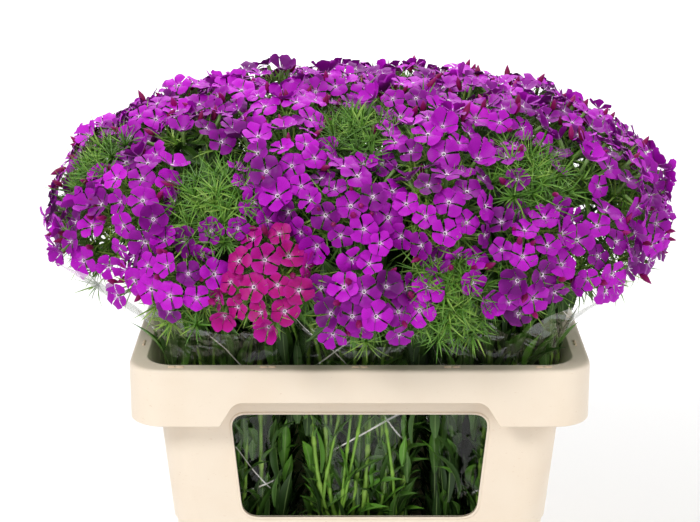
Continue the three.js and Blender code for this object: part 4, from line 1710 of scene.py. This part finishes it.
def sleeve_mesh(bunch, crinkle, crease):
    """One crinkled sleeve: a tube from its waist inside the bucket to its loose upper edge."""
    seed = Vector((11.3 * bunch.number, 4.1, 7.7))
    points = []
    for row in range(FILM_ROWS + 1):
        for column in range(FILM_COLUMNS):
            place = len(SLEEVE_LOOP) * column / FILM_COLUMNS
            i = int(place)
            corners = [SLEEVE_LOOP[(i + k) % len(SLEEVE_LOOP)] for k in (-1, 0, 1, 2)]
            spot = between(*corners, place - i)
            a = max(-1, min(1, spot.x))
            b = max(-1, min(1, spot.y))
            side_x = smooth_step(0.72, 0.97, abs(bunch.u + a * bunch.half_u))
            side_y = smooth_step(0.72, 0.97, abs(bunch.v + b * bunch.half_v))
            corner = side_x * side_y
            ragged = noise.noise(Vector((place * 1.7, bunch.number * 3.0, 0.4)))
            top = SLEEVE_INNER_TOP + (SLEEVE_SIDE_TOP - SLEEVE_INNER_TOP) * max(side_x, side_y)
            top += FILM_RAGGED * ragged * (1 - corner)
            top += (WING_TOPS.get(bunch.number, top) - top) * corner
            bottom = FILM_BOTTOM + 7 * noise.noise(Vector((place * 1.3, bunch.number, 9.0)))
            z = bottom + (top - bottom) * row / FILM_ROWS
            scale = SLEEVE_WAIST + (1 - SLEEVE_WAIST) * smooth_step(FILM_NARROW, FILM_WIDE, z)
            half_x, half_y = share(z)
            gone = place * LOOP_STEP
            upright = Vector((gone / crease, z / (crease * 1.6), 0)) + seed
            slanted = Vector((gone + z * 0.8, (z - gone) * 0.22, 0)) / crease + seed * 2
            crease_depth = (1 - abs(noise.noise(upright)) * 2.2) * 0.45
            crease_depth += (1 - abs(noise.noise(slanted)) * 2.6) * 0.55
            pressed = FILM_PRESSED[0] < z < FILM_PRESSED[1]
            depth = crinkle * max(0.0, crease_depth) * (0.5 if pressed else 1.0)
            inset = FILM_GAP + 0.25 + depth
            across = a * (scale - inset / (bunch.half_u * half_x))
            along = b * (scale - inset / (bunch.half_v * half_y))
            point = bunch.point(across, along, z)
            wing = corner * max(0, z - SLEEVE_SIDE_TOP)
            point.x += math.copysign(WING_OUT * wing, a)
            point.y += math.copysign(WING_FORWARD * wing, b)
            points.append(point * MM)
    faces = grid_faces(FILM_ROWS, FILM_COLUMNS, closed=True)
    mesh = mesh_of(f"bunch_{bunch.number}_film", points, faces)
    uvs = [
        (i % FILM_COLUMNS / FILM_COLUMNS, i // FILM_COLUMNS / FILM_ROWS) for i in range(len(points))
    ]
    return with_uv(mesh, uvs)


class AddFilm(bpy.types.Operator):
    """Stands a sleeve of clear film round each bunch"""

    bl_idname = "dianthus.add_film"
    bl_label = "Film sleeves"

    def execute(self, context):
        settings = context.scene.dianthus_film
        material = film_material()
        for bunch in BUNCHES:
            mesh = sleeve_mesh(bunch, settings.crinkle / MM, settings.crease_spacing / MM)
            piece = new_object(f"bunch_{bunch.number}_film", mesh)
            mesh.materials.append(material)
            finish_piece(piece, [f"sleeve_{bunch.number}"])
        return {"FINISHED"}


# Floor, lights and camera


def soft_box(name, place, target, width, height, power):
    """A large soft studio light aimed at a point."""
    light = bpy.data.lights.new(name, "AREA")
    light.shape = "RECTANGLE"
    light.size = width
    light.size_y = height
    light.energy = power
    made = bpy.data.objects.new(name, light)
    made.location = place
    made.rotation_euler = (Vector(target) - Vector(place)).to_track_quat("-Z", "Y").to_euler()
    bpy.context.scene.collection.objects.link(made)


class AddStage(bpy.types.Operator):
    """Adds the studio floor, the soft lights and the camera"""

    bl_idname = "dianthus.add_stage"
    bl_label = "Stage"

    def execute(self, context):
        settings = context.scene.dianthus_stage
        scene = context.scene
        camera = bpy.data.cameras.new("camera")
        camera.sensor_width = 36
        camera.lens = settings.lens
        camera.clip_end = 50
        holder = bpy.data.objects.new("camera", camera)
        holder.location = CAMERA_PLACE
        holder.rotation_euler = (math.pi / 2 - settings.camera_tilt, 0, 0)
        scene.collection.objects.link(holder)
        scene.camera = holder
        floor = skin_over(
            "studio_floor", [rounded_rectangle(30000, 30000, 2500, z) for z in (-12, -0.2)]
        )
        paint = {"Base Color": settings.floor, "Roughness": 0.85}
        floor.data.materials.append(principled("studio floor paint", paint)[0])
        world = bpy.data.worlds.new("studio")
        world.use_nodes = True
        world.node_tree.nodes["Background"].inputs["Color"].default_value = (1, 1, 1, 1)
        world.node_tree.nodes["Background"].inputs["Strength"].default_value = 0.52
        scene.world = world
        soft_box("key", (-1.3, -1.9, 2.2), (0, 0, 0.42), 0.9, 0.7, 36)
        soft_box("fill", (1.7, -1.6, 1.5), (0, 0, 0.36), 0.7, 0.9, 9)
        soft_box("top", (0.2, 0.5, 2.4), (0, 0, 0.45), 1.4, 0.8, 9)
        soft_box("backdrop", (0, 3.4, 3.2), (0, 3.4, 0), 5.5, 3.5, 210)
        scene.view_settings.view_transform = "Standard"
        scene.view_settings.look = "None"
        return {"FINISHED"}


class DianthusPanel(bpy.types.Panel):
    """Lists the pieces of the bucket of dianthus"""

    bl_idname = "VIEW3D_PT_dianthus"
    bl_label = "Bucket of dianthus"
    bl_space_type = "VIEW_3D"
    bl_region_type = "UI"
    bl_category = "Dianthus"

    def draw(self, context):
        column = self.layout.column()
        for operator in OPERATORS:
            column.operator(operator.bl_idname)
        for label, group in SETTINGS:
            box = self.layout.box()
            box.label(text=label)
            for name in group.__annotations__:
                box.prop(getattr(context.scene, f"dianthus_{label.lower()}"), name)


OPERATORS = (AddStage, AddBucket, AddWater, AddFlorets, AddGreenery, AddFilm)
SETTINGS = (
    ("Bucket", BucketSettings),
    ("Flowers", FlowerSettings),
    ("Greenery", GreenerySettings),
    ("Film", FilmSettings),
    ("Stage", StageSettings),
)


def register():
    for _, group in SETTINGS:
        bpy.utils.register_class(group)
    for operator in OPERATORS:
        bpy.utils.register_class(operator)
    bpy.utils.register_class(DianthusPanel)
    for label, group in SETTINGS:
        setattr(bpy.types.Scene, f"dianthus_{label.lower()}", PointerProperty(type=group))


def unregister():
    for label, _ in SETTINGS:
        delattr(bpy.types.Scene, f"dianthus_{label.lower()}")
    bpy.utils.unregister_class(DianthusPanel)
    for operator in reversed(OPERATORS):
        bpy.utils.unregister_class(operator)
    for _, group in reversed(SETTINGS):
        bpy.utils.unregister_class(group)


def main():
    """Builds every piece."""
    register()
    for name in ("stage", "bucket", "water", "florets", "greenery", "film"):
        getattr(bpy.ops.dianthus, f"add_{name}")()


if __name__ == "__main__":
    main()
